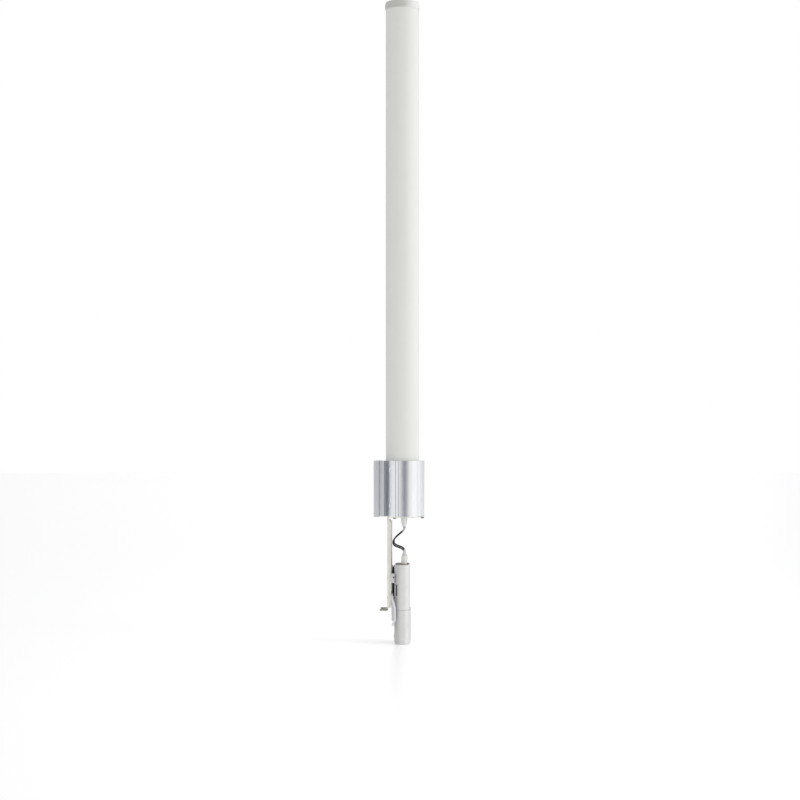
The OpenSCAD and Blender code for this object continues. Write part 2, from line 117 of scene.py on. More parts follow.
class Value:
    """A number inside a node tree; arithmetic on it adds Math nodes."""

    def __init__(self, tree, socket):
        self.tree = tree
        self.socket = socket

    def math(self, operation, *others):
        """The result of a Math node on this number and others."""
        node = self.tree.nodes.new("ShaderNodeMath")
        node.operation = operation
        for socket, item in zip(node.inputs, [self, *others]):
            plug(self.tree, socket, item)
        return Value(self.tree, node.outputs[0])

    def __add__(self, other):
        return self.math("ADD", other)

    __radd__ = __add__

    def __mul__(self, other):
        return self.math("MULTIPLY", other)

    def __sub__(self, other):
        return self.math("SUBTRACT", other)

    def __truediv__(self, other):
        return self.math("DIVIDE", other)

    def step(self, low, high):
        """0 up to low and 1 from high on, eased between them; low may be the greater of the two."""
        node = self.tree.nodes.new("ShaderNodeMapRange")
        node.interpolation_type = "SMOOTHSTEP"
        plug(self.tree, node.inputs["Value"], self)
        node.inputs["From Min"].default_value = low
        node.inputs["From Max"].default_value = high
        return Value(self.tree, node.outputs[0])

    def band(self, low, high, edge):
        """1 from low to high, eased to 0 over an edge outside each."""
        return self.step(low - edge, low) * self.step(high + edge, high)


class Nodes:
    """One node tree and the way that nodes are added to it."""

    def __init__(self, tree):
        self.tree = tree

    def node(self, kind, settings=None, inputs=None):
        """A new node with its properties set and its inputs fed."""
        node = self.tree.nodes.new(kind)
        for name, value in (settings or {}).items():
            setattr(node, name, value)
        for name, item in (inputs or {}).items():
            plug(self.tree, node.inputs[name], item)
        return node

    def value(self, socket):
        """A socket's number, ready for arithmetic."""
        return Value(self.tree, socket)


def paint(red, green, blue):
    """A colour given as on a paint chart, 0 to 255, as linear light."""
    return (*(((c / 255 + 0.055) / 1.055) ** 2.4 if c > 10 else c / 3295 for c in (red, green, blue)), 1)


class Finish(Nodes):
    """A procedural finish round one Principled shader; its patterns lie on Object coordinates."""

    def __init__(self, name, colour, roughness, metallic=0.0, **more):
        self.material = bpy.data.materials.new(name)
        self.material.use_nodes = True
        self.material.diffuse_color = colour
        super().__init__(self.material.node_tree)
        self.shader = self.tree.nodes["Principled BSDF"]
        self.shader.inputs["Base Color"].default_value = colour
        self.shader.inputs["Roughness"].default_value = roughness
        self.shader.inputs["Metallic"].default_value = metallic
        for label, value in more.items():
            self.shader.inputs[label.replace("_", " ").title().replace("Ior", "IOR")].default_value = value
        self.place = self.node("ShaderNodeTexCoord").outputs["Object"]

    def noise(self, per_metre, detail=3.0, roughness=0.5, stretch=(1, 1, 1)):
        """Grain with so many lumps to the metre; stretch slows it along an axis."""
        mapping = self.node("ShaderNodeMapping", None, {"Vector": self.place, "Scale": stretch})
        node = self.node("ShaderNodeTexNoise", None, {
            "Vector": mapping.outputs[0], "Scale": per_metre, "Detail": detail, "Roughness": roughness,
        })
        return self.value(node.outputs[0])

    def along(self, axis):
        """The place along one axis, in metres in the row frame."""
        split = self.node("ShaderNodeSeparateXYZ", None, {"Vector": self.place})
        return self.value(split.outputs[axis])

    def across(self):
        """Millimetres away from the pole, counted from the radome's axis."""
        return (self.along(0) - AXIS_X) / MM

    def deep(self):
        """Millimetres out to either side."""
        return self.along(1).math("ABSOLUTE") / MM

    def up(self):
        """Millimetres above the frame's origin."""
        return self.along(2) / MM

    def mix(self, factor, one, other):
        """One colour where the factor is 0, the other where it is 1."""
        node = self.node("ShaderNodeMix", {"data_type": "RGBA"}, {0: factor, 6: one, 7: other})
        return node.outputs[2]

    def set(self, label, item):
        """Feed one of the shader's inputs."""
        plug(self.tree, self.shader.inputs[label], item)
        return self

    def bump(self, height, depth_mm, strength=1.0):
        """Relief from a height, up to a depth in millimetres; it ends each finish."""
        node = self.node("ShaderNodeBump", None, {
            "Strength": strength, "Distance": depth_mm * MM, "Height": height,
        })
        plug(self.tree, self.shader.inputs["Normal"], node.outputs[0])
        return self


# ---------------------------------------------------------------- finishes


def radome_gelcoat():
    """White gelcoat over glass: faint vertical streaks, a slow ageing cloud and a soft gloss."""
    white = paint(227, 227, 223)
    f = Finish("radome_gelcoat", white, 0.38, coat_weight=0.25, coat_roughness=0.25)
    cloud = f.noise(9, 4, 0.55, (1, 1, 0.25))
    streak = f.noise(420, 2, 0.5, (1, 1, 0.012))
    aged = cloud.step(0.35, 0.75) * 0.7 + streak.step(0.5, 0.8) * 0.12
    f.set("Base Color", f.mix(aged, white, paint(222, 221, 216)))
    f.set("Roughness", 0.33 + cloud * 0.1 + streak * 0.06)
    return f.bump(f.noise(900, 2, 0.5) * 0.35 + f.noise(70, 2, 0.5, (1, 1, 0.3)), 0.03)


def cap_moulding():
    """Grey moulding, with painted light: paler on the side away from the pole, towards the key light."""
    grey = paint(198, 198, 192)
    f = Finish("cap_moulding", grey, 0.5)
    cloud = f.noise(60, 3)
    clouded = f.mix(cloud.step(0.3, 0.8), grey, paint(193, 193, 187))
    # Painted light: the side away from the pole is made paler.
    f.set("Base Color", f.mix(f.across().step(0, 24), clouded, paint(228, 228, 225)))
    f.set("Roughness", 0.44 + cloud * 0.14)
    return f.bump(f.noise(2600, 2, 0.6), 0.05, 0.6)


def extruded_aluminium():
    """Bright extrusion with fine die lines, with painted shade: darker and duller at the roots of the
    ears' inner faces, and dark in the slits beside the groove."""
    bright = paint(239, 240, 242)
    f = Finish("extruded_aluminium", bright, 0.2, 1.0)
    die_line = f.noise(900, 3, 0.6, (1, 1, 0.004))
    broad = f.noise(120, 3, 0.5, (1, 1, 0.03))
    blotch = f.noise(45, 4, 0.6, (1, 1, 0.5))
    across = f.across()
    deep = f.deep()
    # Painted shade: darker and duller at the roots of the ears' inner faces.
    root_shade = across.step(-45.2, -44.6) * across.step(-43, -44) * deep.step(45, 24)
    rear, front = GROOVE_X
    # Painted shade: the slits beside the groove are painted near black.
    slits = across.band(rear, rear + SLIT, 0.1) + across.band(front - SLIT, front, 0.1)
    drawn = broad.step(0.35, 0.75) * 0.6 + blotch.step(0.5, 0.9) * 0.2
    clean = f.mix(drawn, bright, paint(222, 224, 228))
    root_shaded = f.mix(root_shade, clean, paint(172, 175, 181))
    f.set("Base Color", f.mix(slits * deep.step(33, 34), root_shaded, paint(40, 42, 48)))
    f.set("Roughness", 0.14 + die_line * 0.12 + blotch.step(0.4, 0.85) * 0.06 + root_shade * 0.3)
    return f.bump(die_line * 0.7 + broad * 0.2, 0.004)


def zinc_sheet():
    """Zinc plate with a warm passivate, and a painted dark reflection on the foot."""
    warm = paint(243, 241, 232)
    f = Finish("zinc_sheet", warm, 0.42, 1.0)
    spangle = f.noise(160, 5, 0.65)
    drift = f.noise(22, 3, 0.5, (1, 1, 0.4))
    rolled = f.noise(1400, 2, 0.5, (1, 1, 0.02))
    olive = drift.step(0.3, 0.7) * 0.65 + spangle.step(0.45, 0.8) * 0.3
    sheet = f.mix(olive, warm, paint(224, 221, 208))
    # Painted reflection: the foot below the lower bend is made dark olive, as a dark reflection.
    f.set("Base Color", f.mix(f.up().step(-231, -233.4), sheet, paint(126, 122, 106)))
    f.set("Roughness", 0.36 + spangle * 0.16 + rolled * 0.06)
    return f.bump(rolled * 0.4 + spangle, 0.01)


def plated(name, colour, tarnish, roughness):
    """A plated metal with a fine cloud of tarnish."""
    f = Finish(name, colour, roughness, 1.0)
    cloud = f.noise(350, 4, 0.6)
    f.set("Base Color", f.mix(cloud.step(0.4, 0.8), colour, tarnish))
    f.set("Roughness", roughness + cloud * 0.16 - 0.05)
    return f.bump(f.noise(3000, 2), 0.008)


def grained(f, roughness, strength=0.6):
    """The polished gloss and the spark-eroded grain of a moulding tool, on a finish."""
    f.set("Roughness", roughness + f.noise(120, 4, 0.6) * 0.14)
    return f.bump(f.noise(2400, 2, 0.6), 0.03, strength)


def moulded(name, colour, shadow, roughness):
    """Moulded plastic with faint flow clouds."""
    f = Finish(name, colour, roughness)
    cloud = f.noise(38, 3, 0.55)
    f.set("Base Color", f.mix(cloud.step(0.35, 0.75), colour, shadow))
    return grained(f, roughness - 0.06)


def latch_moulding():
    """Glossy white nylon, with painted shade: the thin web between the arms is greyer than the arms' outer
    faces.
    """
    white = paint(228, 228, 231)
    f = Finish("latch_moulding", white, 0.34)
    deep = f.deep()
    inner, outer = LATCH_WEB_Y
    # Painted shade: the thin web set between the arms is made greyer.
    web = deep.step(inner - 0.4, inner) * deep.step(outer + 0.4, outer + 0.1)
    f.set("Base Color", f.mix(web * 0.8 + f.noise(38, 3, 0.55) * 0.1, white, paint(192, 193, 197)))
    return grained(f, 0.28, 0.5)


def radio_moulding(name):
    """The radio's plastic, with painted shade greyer on its two flat faces, a painted highlight where the
    side turns into the front one, painted shade in the side slot and a painted shadow beside the latch's
    arm."""
    grey = paint(217, 217, 215)
    f = Finish(name, grey, 0.46)
    cloud = f.noise(38, 3, 0.55)
    across = f.across()
    deep = f.deep()
    up = f.up()
    # Painted highlight: palest where the side turns into the front face.
    edge = f.mix(across.step(4, 9.5), grey, paint(231, 231, 230))
    # Painted shade: greyer towards the front flat face.
    front = f.mix(across.step(11, 15), edge, paint(208, 208, 205))
    # Painted shade: greyer towards the rear flat face.
    light_and_shade_painted = f.mix(across.step(-1, -9), front, paint(190, 190, 186))
    plain = f.mix(cloud.step(0.35, 0.75) * 0.5, light_and_shade_painted, paint(207, 207, 204))
    # Painted shadow: a darker strip on the shell beside the latch's arm, as the arm's shade.
    lever_shadow = across.step(-13.6, -12) * across.step(-7.6, -9.4) * up.step(-252, -246) * up.step(-206, -210)
    lever_shadow = lever_shadow * deep.step(30, 32) * (0.7 + cloud * 0.6)
    lever_shadowed = f.mix(lever_shadow * 0.8, plain, paint(150, 150, 148))
    # Painted shade: the floor of the side slot is made dark.
    slot = across.band(SIDE_SLOT_X[0] + 0.2, SIDE_SLOT_X[1] + 0.1, 0.6)
    slot = slot * up.band(SIDE_SLOT_Z[0] + 0.4, SIDE_SLOT_Z[1] - 0.4, 1.4) * deep.step(28, 29)
    f.set("Base Color", f.mix(slot, lever_shadowed, paint(92, 92, 91)))
    return grained(f, 0.4)


def soft_moulded(name, colour, shadow, roughness, shine=0.5):
    """Rubber or soft jacket: matt, with a slow sheen change and fine drag marks."""
    f = Finish(name, colour, roughness, specular_ior_level=shine)
    slow = f.noise(140, 3)
    f.set("Base Color", f.mix(slow.step(0.35, 0.75), colour, shadow))
    f.set("Roughness", roughness - 0.08 + slow * 0.2)
    return f.bump(f.noise(1800, 3, 0.6), 0.03, 0.7)


def circuit_board():
    """Green solder mask over a glass weave."""
    mask = paint(18, 84, 48)
    f = Finish("circuit_board", mask, 0.34)
    weave = f.noise(1800, 2)
    f.set("Base Color", f.mix(weave.step(0.4, 0.7), mask, paint(24, 100, 58)))
    f.set("Roughness", 0.3 + weave * 0.12)
    return f.bump(weave, 0.01)


def closed_foam():
    """White closed-cell foam."""
    f = Finish("closed_foam", paint(240, 240, 236), 0.9)
    cells = f.noise(900, 4, 0.7)
    f.set("Base Color", f.mix(cells.step(0.4, 0.7), paint(244, 244, 240), paint(222, 222, 216)))
    f.set("Roughness", 0.82 + cells * 0.15)
    return f.bump(cells, 0.25)


def clear_plastic():
    """The light pipes' clear plastic, faintly hazed."""
    f = Finish("clear_light_pipe", paint(222, 232, 236), 0.12, transmission_weight=0.85, ior=1.49)
    haze = f.noise(500, 2)
    f.set("Roughness", 0.08 + haze * 0.12)
    return f.bump(haze, 0.01)


FINISHES = {
    "radome": radome_gelcoat(),
    "cap": cap_moulding(),
    "seal": soft_moulded("seal_rubber", paint(38, 38, 38), paint(52, 52, 51), 0.7),
    "extruded_aluminium": extruded_aluminium(),
    "plug_plastic": moulded("plug_moulding", paint(66, 67, 70), paint(52, 53, 56), 0.5),
    "zinc_steel": zinc_sheet(),
    "screw_steel": plated("dark_screw_plate", paint(84, 84, 86), paint(58, 58, 60), 0.32),
    "board": circuit_board(),
    "copper": plated("bare_copper", paint(214, 146, 104), paint(176, 108, 74), 0.28),
    "foam": closed_foam(),
    "gold": plated("gold_plate", paint(226, 200, 148), paint(204, 172, 116), 0.3),
    "boot": soft_moulded("boot_moulding", paint(230, 229, 226), paint(219, 218, 216), 0.5),
    "heat_shrink_grey": soft_moulded("grey_heat_shrink", paint(184, 189, 199), paint(164, 170, 182), 0.4),
    "heat_shrink_white": soft_moulded("white_heat_shrink", paint(206, 208, 212), paint(188, 190, 196), 0.4),
    "lead_jacket": soft_moulded("lead_jacket", paint(8, 8, 9), paint(14, 14, 15), 0.55, 0.25),
    "pigtail_jacket": soft_moulded("pigtail_jacket", paint(150, 98, 60), paint(128, 80, 48), 0.4),
    "cradle_plastic": moulded("cradle_moulding", paint(206, 206, 209), paint(192, 192, 196), 0.45),
    "latch_plastic": latch_moulding(),
    "black_plastic": moulded("black_moulding", paint(16, 16, 17), paint(24, 24, 25), 0.55),
    "bright_steel": plated("bright_steel", paint(216, 217, 219), paint(186, 188, 192), 0.24),
    "radio_rear": radio_moulding("radio_rear_moulding"),
    "radio_front": radio_moulding("radio_front_moulding"),
    "dark_plate": moulded("dark_plate_moulding", paint(92, 95, 94), paint(74, 77, 76), 0.5),
    "clear_light": clear_plastic(),
}

# ---------------------------------------------------------------- outlines


def arc(centre, radius, start, end, steps):
    """Points on an arc, with angles in degrees."""
    angles = [math.radians(start + (end - start) * i / steps) for i in range(steps + 1)]
    return [(centre[0] + radius * math.cos(a), centre[1] + radius * math.sin(a)) for a in angles]


def circle(centre, radius, steps=24):
    """The points of a round outline."""
    return arc(centre, radius, 0, 360 - 360 / steps, steps - 1)


def rounded(corners, steps=5, closed=True):
    """The outline through the corners (x, y) or (x, y, radius), each one rounded by an arc."""
    points = []
    count = len(corners)
    for i, corner in enumerate(corners):
        here = Vector(corner[:2])
        radius = corner[2] if len(corner) > 2 else 0
        if not radius or not (closed or 0 < i < count - 1):
            points.append(tuple(here))
            continue
        before = (Vector(corners[i - 1][:2]) - here).normalized()
        after = (Vector(corners[(i + 1) % count][:2]) - here).normalized()
        half = before.angle(after) / 2
        middle = here + (before + after).normalized() * radius / math.sin(half)
        first = here + before * radius / math.tan(half) - middle
        last = here + after * radius / math.tan(half) - middle
        turn = first.angle_signed(last)
        for k in range(steps + 1):
            points.append(tuple(middle + Matrix.Rotation(-turn * k / steps, 2) @ first))
    return points


def mirrored(half):
    """A closed outline from its upper half, whose ends lie on the X axis."""
    return half + [(x, -y) for x, y in reversed(half) if abs(y) > 1e-6]


def box_outline(low, high, radius=0.0):
    """A rectangle with rounded corners, from its low and high corner."""
    (x0, y0), (x1, y1) = low, high
    return rounded([(x0, y0, radius), (x1, y0, radius), (x1, y1, radius), (x0, y1, radius)])


# ---------------------------------------------------------------- solids

XY = Matrix.Identity(4)
XZ = Matrix.Rotation(math.radians(90), 4, "X")
YZ = Matrix(((0, 0, 1, 0), (1, 0, 0, 0), (0, 1, 0, 0), (0, 0, 0, 1)))


def mesh_of(bm, name="shape"):
    """A mesh from a bmesh, with doubles merged and its faces turned outwards."""
    bmesh.ops.remove_doubles(bm, verts=bm.verts, dist=1e-4)
    bmesh.ops.dissolve_degenerate(bm, edges=bm.edges, dist=1e-4)
    bmesh.ops.recalc_face_normals(bm, faces=bm.faces)
    mesh = bpy.data.meshes.new(name)
    bm.to_mesh(mesh)
    bm.free()
    return mesh


def flatten(data, modifiers=()):
    """The plain mesh of a curve or a mesh with modifiers, made on a passing object."""
    thing = bpy.data.objects.new("passing", data)
    bpy.context.scene.collection.objects.link(thing)
    for kind, settings in modifiers:
        modifier = thing.modifiers.new(kind, kind)
        for name, value in settings.items():
            setattr(modifier, name, value)
    graph = bpy.context.evaluated_depsgraph_get()
    graph.update()
    mesh = bpy.data.meshes.new_from_object(thing.evaluated_get(graph), depsgraph=graph)
    bpy.data.objects.remove(thing)
    return mesh


def slab(loops, low, high, bevel=0.3, plane=XY):
    """A flat blank cut to its loops, the first one outside, from low to high across its plane."""
    curve = bpy.data.curves.new("outline", "CURVE")
    curve.dimensions = "2D"
    curve.fill_mode = "BOTH"
    curve.extrude = (high - low) / 2 - bevel
    curve.bevel_depth = bevel
    curve.bevel_resolution = 2
    curve.offset = -bevel
    for loop in loops:
        spline = curve.splines.new("POLY")
        spline.points.add(len(loop) - 1)
        for point, (x, y) in zip(spline.points, loop):
            point.co = (x, y, 0, 1)
        spline.use_cyclic_u = True
    flat = flatten(curve)
    bm = bmesh.new()
    bm.from_mesh(flat)
    mesh = mesh_of(bm)
    mesh.transform(plane @ Matrix.Translation((0, 0, (low + high) / 2)))
    return mesh


def slab_xz(loops, y0, y1, bevel=0.3):
    """A blank whose outline is a side view, (x, z), from y0 to y1."""
    return slab(loops, -y1, -y0, bevel, XZ)


def slab_yz(loops, x0, x1, bevel=0.3):
    """A blank whose outline is a front view, (y, z), from x0 to x1."""
    return slab(loops, x0, x1, bevel, YZ)


def lathe(profile, at=(0, 0, 0), steps=96, turn=XY, ring=False):
    """A turned solid from its (radius, height) profile; a ring's profile is closed."""
    bm = bmesh.new()
    rings = [[bm.verts.new((r * math.cos(math.tau * k / steps), r * math.sin(math.tau * k / steps), z))
              for k in range(steps)] for r, z in profile]
    pairs = list(zip(rings, rings[1:] + rings[:1])) if ring else list(zip(rings, rings[1:]))
    for one, other in pairs:
        for k in range(steps):
            bm.faces.new((one[k], one[(k + 1) % steps], other[(k + 1) % steps], other[k]))
    mesh = mesh_of(bm)
    mesh.transform(Matrix.Translation(at) @ turn)
    return mesh


def oval(profile, side_y, steps=28):
    """A solid with half-round ends across Y: profile gives (radius, height, centre x)."""
    bm = bmesh.new()
    rings = []
    for radius, z, cx in profile:
        far = arc((cx, side_y), radius, 0, 180, steps)
        near = arc((cx, -side_y), radius, 180, 360, steps)
        rings.append([bm.verts.new((x, y, z)) for x, y in far + near])
    for one, other in zip(rings, rings[1:]):
        for k in range(len(one)):
            j = (k + 1) % len(one)
            bm.faces.new((one[k], one[j], other[j], other[k]))
    bm.faces.new(rings[0])
    bm.faces.new(rings[-1])
    return mesh_of(bm)


def tube(path, radii, side, sides=24):
    """A round tube along a path in one plane; side is that plane's normal."""
    bm = bmesh.new()
    side = Vector(side)
    rings = []
    for i, (point, radius) in enumerate(zip(path, radii)):
        ahead = Vector(path[min(i + 1, len(path) - 1)]) - Vector(path[max(i - 1, 0)])
        up = ahead.normalized().cross(side).normalized()
        rings.append([bm.verts.new(Vector(point) + radius * (
            math.cos(math.tau * k / sides) * up + math.sin(math.tau * k / sides) * side))
            for k in range(sides)])
    for one, other in zip(rings, rings[1:]):
        for k in range(sides):
            j = (k + 1) % sides
            bm.faces.new((one[k], one[j], other[j], other[k]))
    bm.faces.new(rings[0])
    bm.faces.new(rings[-1])
    return mesh_of(bm)


def joined(*meshes):
    """Several solids as one mesh, in the place where each one is."""
    bm = bmesh.new()
    for mesh in meshes:
        bm.from_mesh(mesh)
    whole = bpy.data.meshes.new("joined")
    bm.to_mesh(whole)
    bm.free()
    return whole


def carve(mesh, operation, *tools):
    """The exact difference, union or intersection of a solid and each tool in turn."""
    for tool in tools:
        other = bpy.data.objects.new("tool", tool)
        bpy.context.scene.collection.objects.link(other)
        mesh = flatten(mesh, [("BOOLEAN", {"operation": operation, "solver": "EXACT", "object": other})])
        bpy.data.objects.remove(other)
    return mesh


def brick(low, high):
    """A plain block, for cutting others and for contact pins."""
    bm = bmesh.new()
    bmesh.ops.create_cube(bm, size=1)
    size = Vector(high) - Vector(low)
    middle = (Vector(high) + Vector(low)) / 2
    bmesh.ops.transform(bm, matrix=Matrix.Translation(middle) @ Matrix.Diagonal((*size, 1)), verts=bm.verts)
    return mesh_of(bm)


def rod(at, radius, length, turn=XY, steps=48):
    """A plain round bar from a point: a cutter for a hole, or a boss."""
    return lathe([(0, 0), (radius, 0), (radius, length), (0, length)], at, steps, turn)


def turned(profile, at=(0, 0, 0), steps=40, turn=XY):
    """A turned solid from an open profile, whose corners may each have an easing radius."""
    return lathe(rounded(profile, closed=False), at, steps, turn)


def pin(at, radius, length, ease, turn=XY, steps=32):
    """A round bar from a point, with its far edge eased."""
    return turned([(0, 0), (radius, 0), (radius, length, ease), (0, length)], at, steps, turn)


ALONG_X = Matrix.Rotation(math.radians(90), 4, "Y")
ALONG_Y = Matrix.Rotation(math.radians(-90), 4, "X")
FLIP_Y = Matrix.Scale(-1, 4, (0, 1, 0))
DOWN = Matrix.Rotation(math.radians(180), 4, "X")


def other_side(mesh):
    """The same solid on the other side of the object, right side out."""
    bm = bmesh.new()
    bm.from_mesh(mesh)
    bmesh.ops.transform(bm, matrix=FLIP_Y, verts=bm.verts)
    bmesh.ops.reverse_faces(bm, faces=bm.faces)
    flipped = bpy.data.meshes.new("flipped")
    bm.to_mesh(flipped)
    bm.free()
    return flipped


def both_sides(mesh):
    """A solid and its mirror image, as one mesh."""
    return joined(mesh, other_side(mesh))


def piece(name, mesh, body, slot, nodes=(), sharp=32):
    """A finished piece: its mesh in the row frame, its finish, and the body that it rides on."""
    mesh.transform(TO_ROW)
    mesh.materials.clear()
    mesh.materials.append(FINISHES[slot].material)
    mesh.polygons.foreach_set("material_index", [0] * len(mesh.polygons))
    mesh.polygons.foreach_set("use_smooth", [True] * len(mesh.polygons))
    mesh.set_sharp_from_angle(angle=math.radians(sharp))
    mesh = flatten(mesh, [("WEIGHTED_NORMAL", {"keep_sharp": True})])
    mesh.name = name
    thing = bpy.data.objects.new(name, mesh)
    bpy.context.scene.collection.objects.link(thing)
    if body:
        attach(thing, body)
    if nodes:
        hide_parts(*nodes)
    return thing


# ---------------------------------------------------------------- patterns


class Pattern(Nodes):
    """A geometry node tree with named inputs; it ends in Realize Instances and Set Material."""

    KINDS = {float: "NodeSocketFloat", int: "NodeSocketInt"}

    def __init__(self, name, **defaults):
        super().__init__(bpy.data.node_groups.new(name, "GeometryNodeTree"))
        face = self.tree.interface
        face.new_socket("Geometry", in_out="INPUT", socket_type="NodeSocketGeometry")
        face.new_socket("Finish", in_out="INPUT", socket_type="NodeSocketMaterial")
        face.new_socket("Geometry", in_out="OUTPUT", socket_type="NodeSocketGeometry")
        for label, default in defaults.items():
            kind = self.KINDS.get(type(default), "NodeSocketObject")
            socket = face.new_socket(label, in_out="INPUT", socket_type=kind)
            if default is not None:
                socket.default_value = default
        self.given = self.tree.nodes.new("NodeGroupInput")

    def input(self, label):
        """One of the pattern's inputs, as a number where it is one."""
        socket = self.given.outputs[label]
        return self.value(socket) if socket.type in ("VALUE", "INT") else socket

    def end(self, geometry):
        """Finish the tree: real geometry in its own material."""
        real = self.node("GeometryNodeRealizeInstances", None, {0: geometry})
        done = self.node("GeometryNodeSetMaterial", None, {
            "Geometry": real.outputs[0], "Material": self.given.outputs["Finish"],
        })
        out = self.node("NodeGroupOutput")
        self.tree.links.new(done.outputs[0], out.inputs[0])
        return self

    def grow(self, points, slot, **values):
        """The plain mesh that the pattern makes of some points."""
        mesh = bpy.data.meshes.new("points")
        mesh.from_pydata([tuple(p) for p in points], [], [])
        thing = bpy.data.objects.new("points", mesh)
        bpy.context.scene.collection.objects.link(thing)
        modifier = thing.modifiers.new("pattern", "NODES")
        modifier.node_group = self.tree
        names = {item.name: item.identifier for item in self.tree.interface.items_tree
                 if item.item_type == "SOCKET" and item.in_out == "INPUT"}
        modifier[names["Finish"]] = FINISHES[slot].material
        for label, value in values.items():
            modifier[names[label]] = value
        graph = bpy.context.evaluated_depsgraph_get()
        graph.update()
        grown = bpy.data.meshes.new_from_object(thing.evaluated_get(graph), depsgraph=graph)
        bpy.data.objects.remove(thing)
        return grown


def repeat_pattern():
    """One shape set on each point, each turned a step further about Z than the last."""
    p = Pattern("repeat_on_points", Shape=None, Turn=0.0)
    shape = p.node("GeometryNodeObjectInfo", None, {"Object": p.input("Shape")})
    index = p.value(p.node("GeometryNodeInputIndex").outputs[0])
    turn = p.node("ShaderNodeCombineXYZ", None, {"Z": index * p.input("Turn")})
    put = p.node("GeometryNodeInstanceOnPoints", None, {
        "Points": p.given.outputs["Geometry"], "Instance": shape.outputs["Geometry"],
        "Rotation": turn.outputs[0],
    })
    return p.end(put.outputs[0])


def ring_pattern():
    """Upright bars round a circle about each point."""
    p = Pattern("bars_round_a_circle", Count=16, Radius=5.0, Width=0.8, Depth=0.4, Height=6.0)
    spots = p.node("GeometryNodeMeshCircle", None, {
        "Vertices": p.input("Count"), "Radius": p.input("Radius"),
    })
    size = p.node("ShaderNodeCombineXYZ", None, {
        "X": p.input("Depth"), "Y": p.input("Width"), "Z": p.input("Height"),
    })
    bar = p.node("GeometryNodeMeshCube", None, {"Size": size.outputs[0]})
    index = p.value(p.node("GeometryNodeInputIndex").outputs[0])
    turn = p.node("ShaderNodeCombineXYZ", None, {"Z": index * math.tau / p.input("Count")})
    bars = p.node("GeometryNodeInstanceOnPoints", None, {
        "Points": spots.outputs[0], "Instance": bar.outputs[0], "Rotation": turn.outputs[0],
    })
    real = p.node("GeometryNodeRealizeInstances", None, {0: bars.outputs[0]})
    put = p.node("GeometryNodeInstanceOnPoints", None, {
        "Points": p.given.outputs["Geometry"], "Instance": real.outputs[0],
    })
    return p.end(put.outputs[0])


def thread_pattern():
    """A raised screw thread up from each point."""
    p = Pattern("screw_thread", Radius=3.1, Pitch=0.7, Turns=8.0, Depth=0.3)
    spiral = p.node("GeometryNodeCurveSpiral", None, {
        "Resolution": 36, "Rotations": p.input("Turns"), "Start Radius": p.input("Radius"),
        "End Radius": p.input("Radius"), "Height": p.input("Turns") * p.input("Pitch"),
    })
    crest = p.node("GeometryNodeCurvePrimitiveCircle", None, {"Resolution": 4, "Radius": p.input("Depth")})
    wire = p.node("GeometryNodeCurveToMesh", None, {
        "Curve": spiral.outputs[0], "Profile Curve": crest.outputs[0], "Fill Caps": True,
    })
    put = p.node("GeometryNodeInstanceOnPoints", None, {
        "Points": p.given.outputs["Geometry"], "Instance": wire.outputs[0],
    })
    return p.end(put.outputs[0])


REPEAT = repeat_pattern()
RING = ring_pattern()
THREAD = thread_pattern()


def repeated(mesh, points, slot, turn=0.0, place=XY):
    """A small part set on each point by the repeat pattern, then stood in its place."""
    shape = bpy.data.objects.new("shape", mesh)
    bpy.context.scene.collection.objects.link(shape)
    grown = REPEAT.grow(points, slot, Shape=shape, Turn=turn)
    bpy.data.objects.remove(shape)
    grown.transform(place)
    return grown


# ---------------------------------------------------------------- antenna leads

JACK_X = 4
JACK_Y = 22
LEAD_R = 1.4
LEAD_ROUTE = [
    (4, -75), (4, -77.6), (2.6, -80.8), (0, -83.6), (-4, -87), (-8.4, -90.6),
    (-12.6, -94.6), (-16, -99.2), (-17, -104.4), (-15.2, -108.8), (-11, -111.6),
    (-6.2, -113.3), (-1.7, -115.1), (1.8, -117.7), (3.7, -120.7), (4, -123),
]
SIDES = {"left": 1, "right": -1}


def smooth_route(points, between=6):
    """A smooth curve through all the points, with steps between each two."""
    line = []
    for i in range(len(points) - 1):
        a, b, c, d = (Vector(points[min(max(k, 0), len(points) - 1)]) for k in (i - 1, i, i + 1, i + 2))
        for k in range(between):
            t = k / between
            line.append(0.5 * (2 * b + (c - a) * t + (2 * a - 5 * b + 4 * c - d) * t ** 2
                               + (3 * b - a - 3 * c + d) * t ** 3))
    line.append(Vector(points[-1]))
    return line


lead_line = smooth_route(LEAD_ROUTE)


def make_leads():
    """Each lead's jacket and the heat-shrink at its two ends."""
    for side, sign in SIDES.items():
        line = [Vector((p.x, sign * JACK_Y, p.y)) for p in lead_line]
        count = len(line)
        top = [p for p in line if p.z > -82.6]
        foot = [p for p in line if p.z < -119]
        parts = {
            f"lead_{side}": (line, [LEAD_R] * count, "lead_jacket", [f"rf_lead_{side}"]),
            f"heat_shrink_top_{side}": (
                top, [2.05 - 0.5 * (i / len(top)) ** 2 for i in range(len(top))], "heat_shrink_grey", []),
            f"heat_shrink_foot_{side}": (
                foot, [1.62 + 0.5 * min(1, 1.5 * i / len(foot)) for i in range(len(foot))],
                "heat_shrink_white", []),
        }
        for name, (path, radii, slot, nodes) in parts.items():
            thing = piece(name, tube(path, radii, (0, 1, 0)), None, slot, nodes)
            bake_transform(thing)


make_leads()

# ---------------------------------------------------------------- antenna


def make_radome():
    """The radome: a plain tube with eased ends."""
    low, high = extent("radome_tube")
    outside = high.x
    inside = outside - 2.2
    wall = rounded([
        (inside, low.z, 0.3), (outside, low.z, 0.5), (outside, high.z, 0.3), (inside, high.z, 0.3),
    ])
    piece("radome", lathe(wall, steps=144, ring=True), "antenna", "radome", ["radome_tube"])


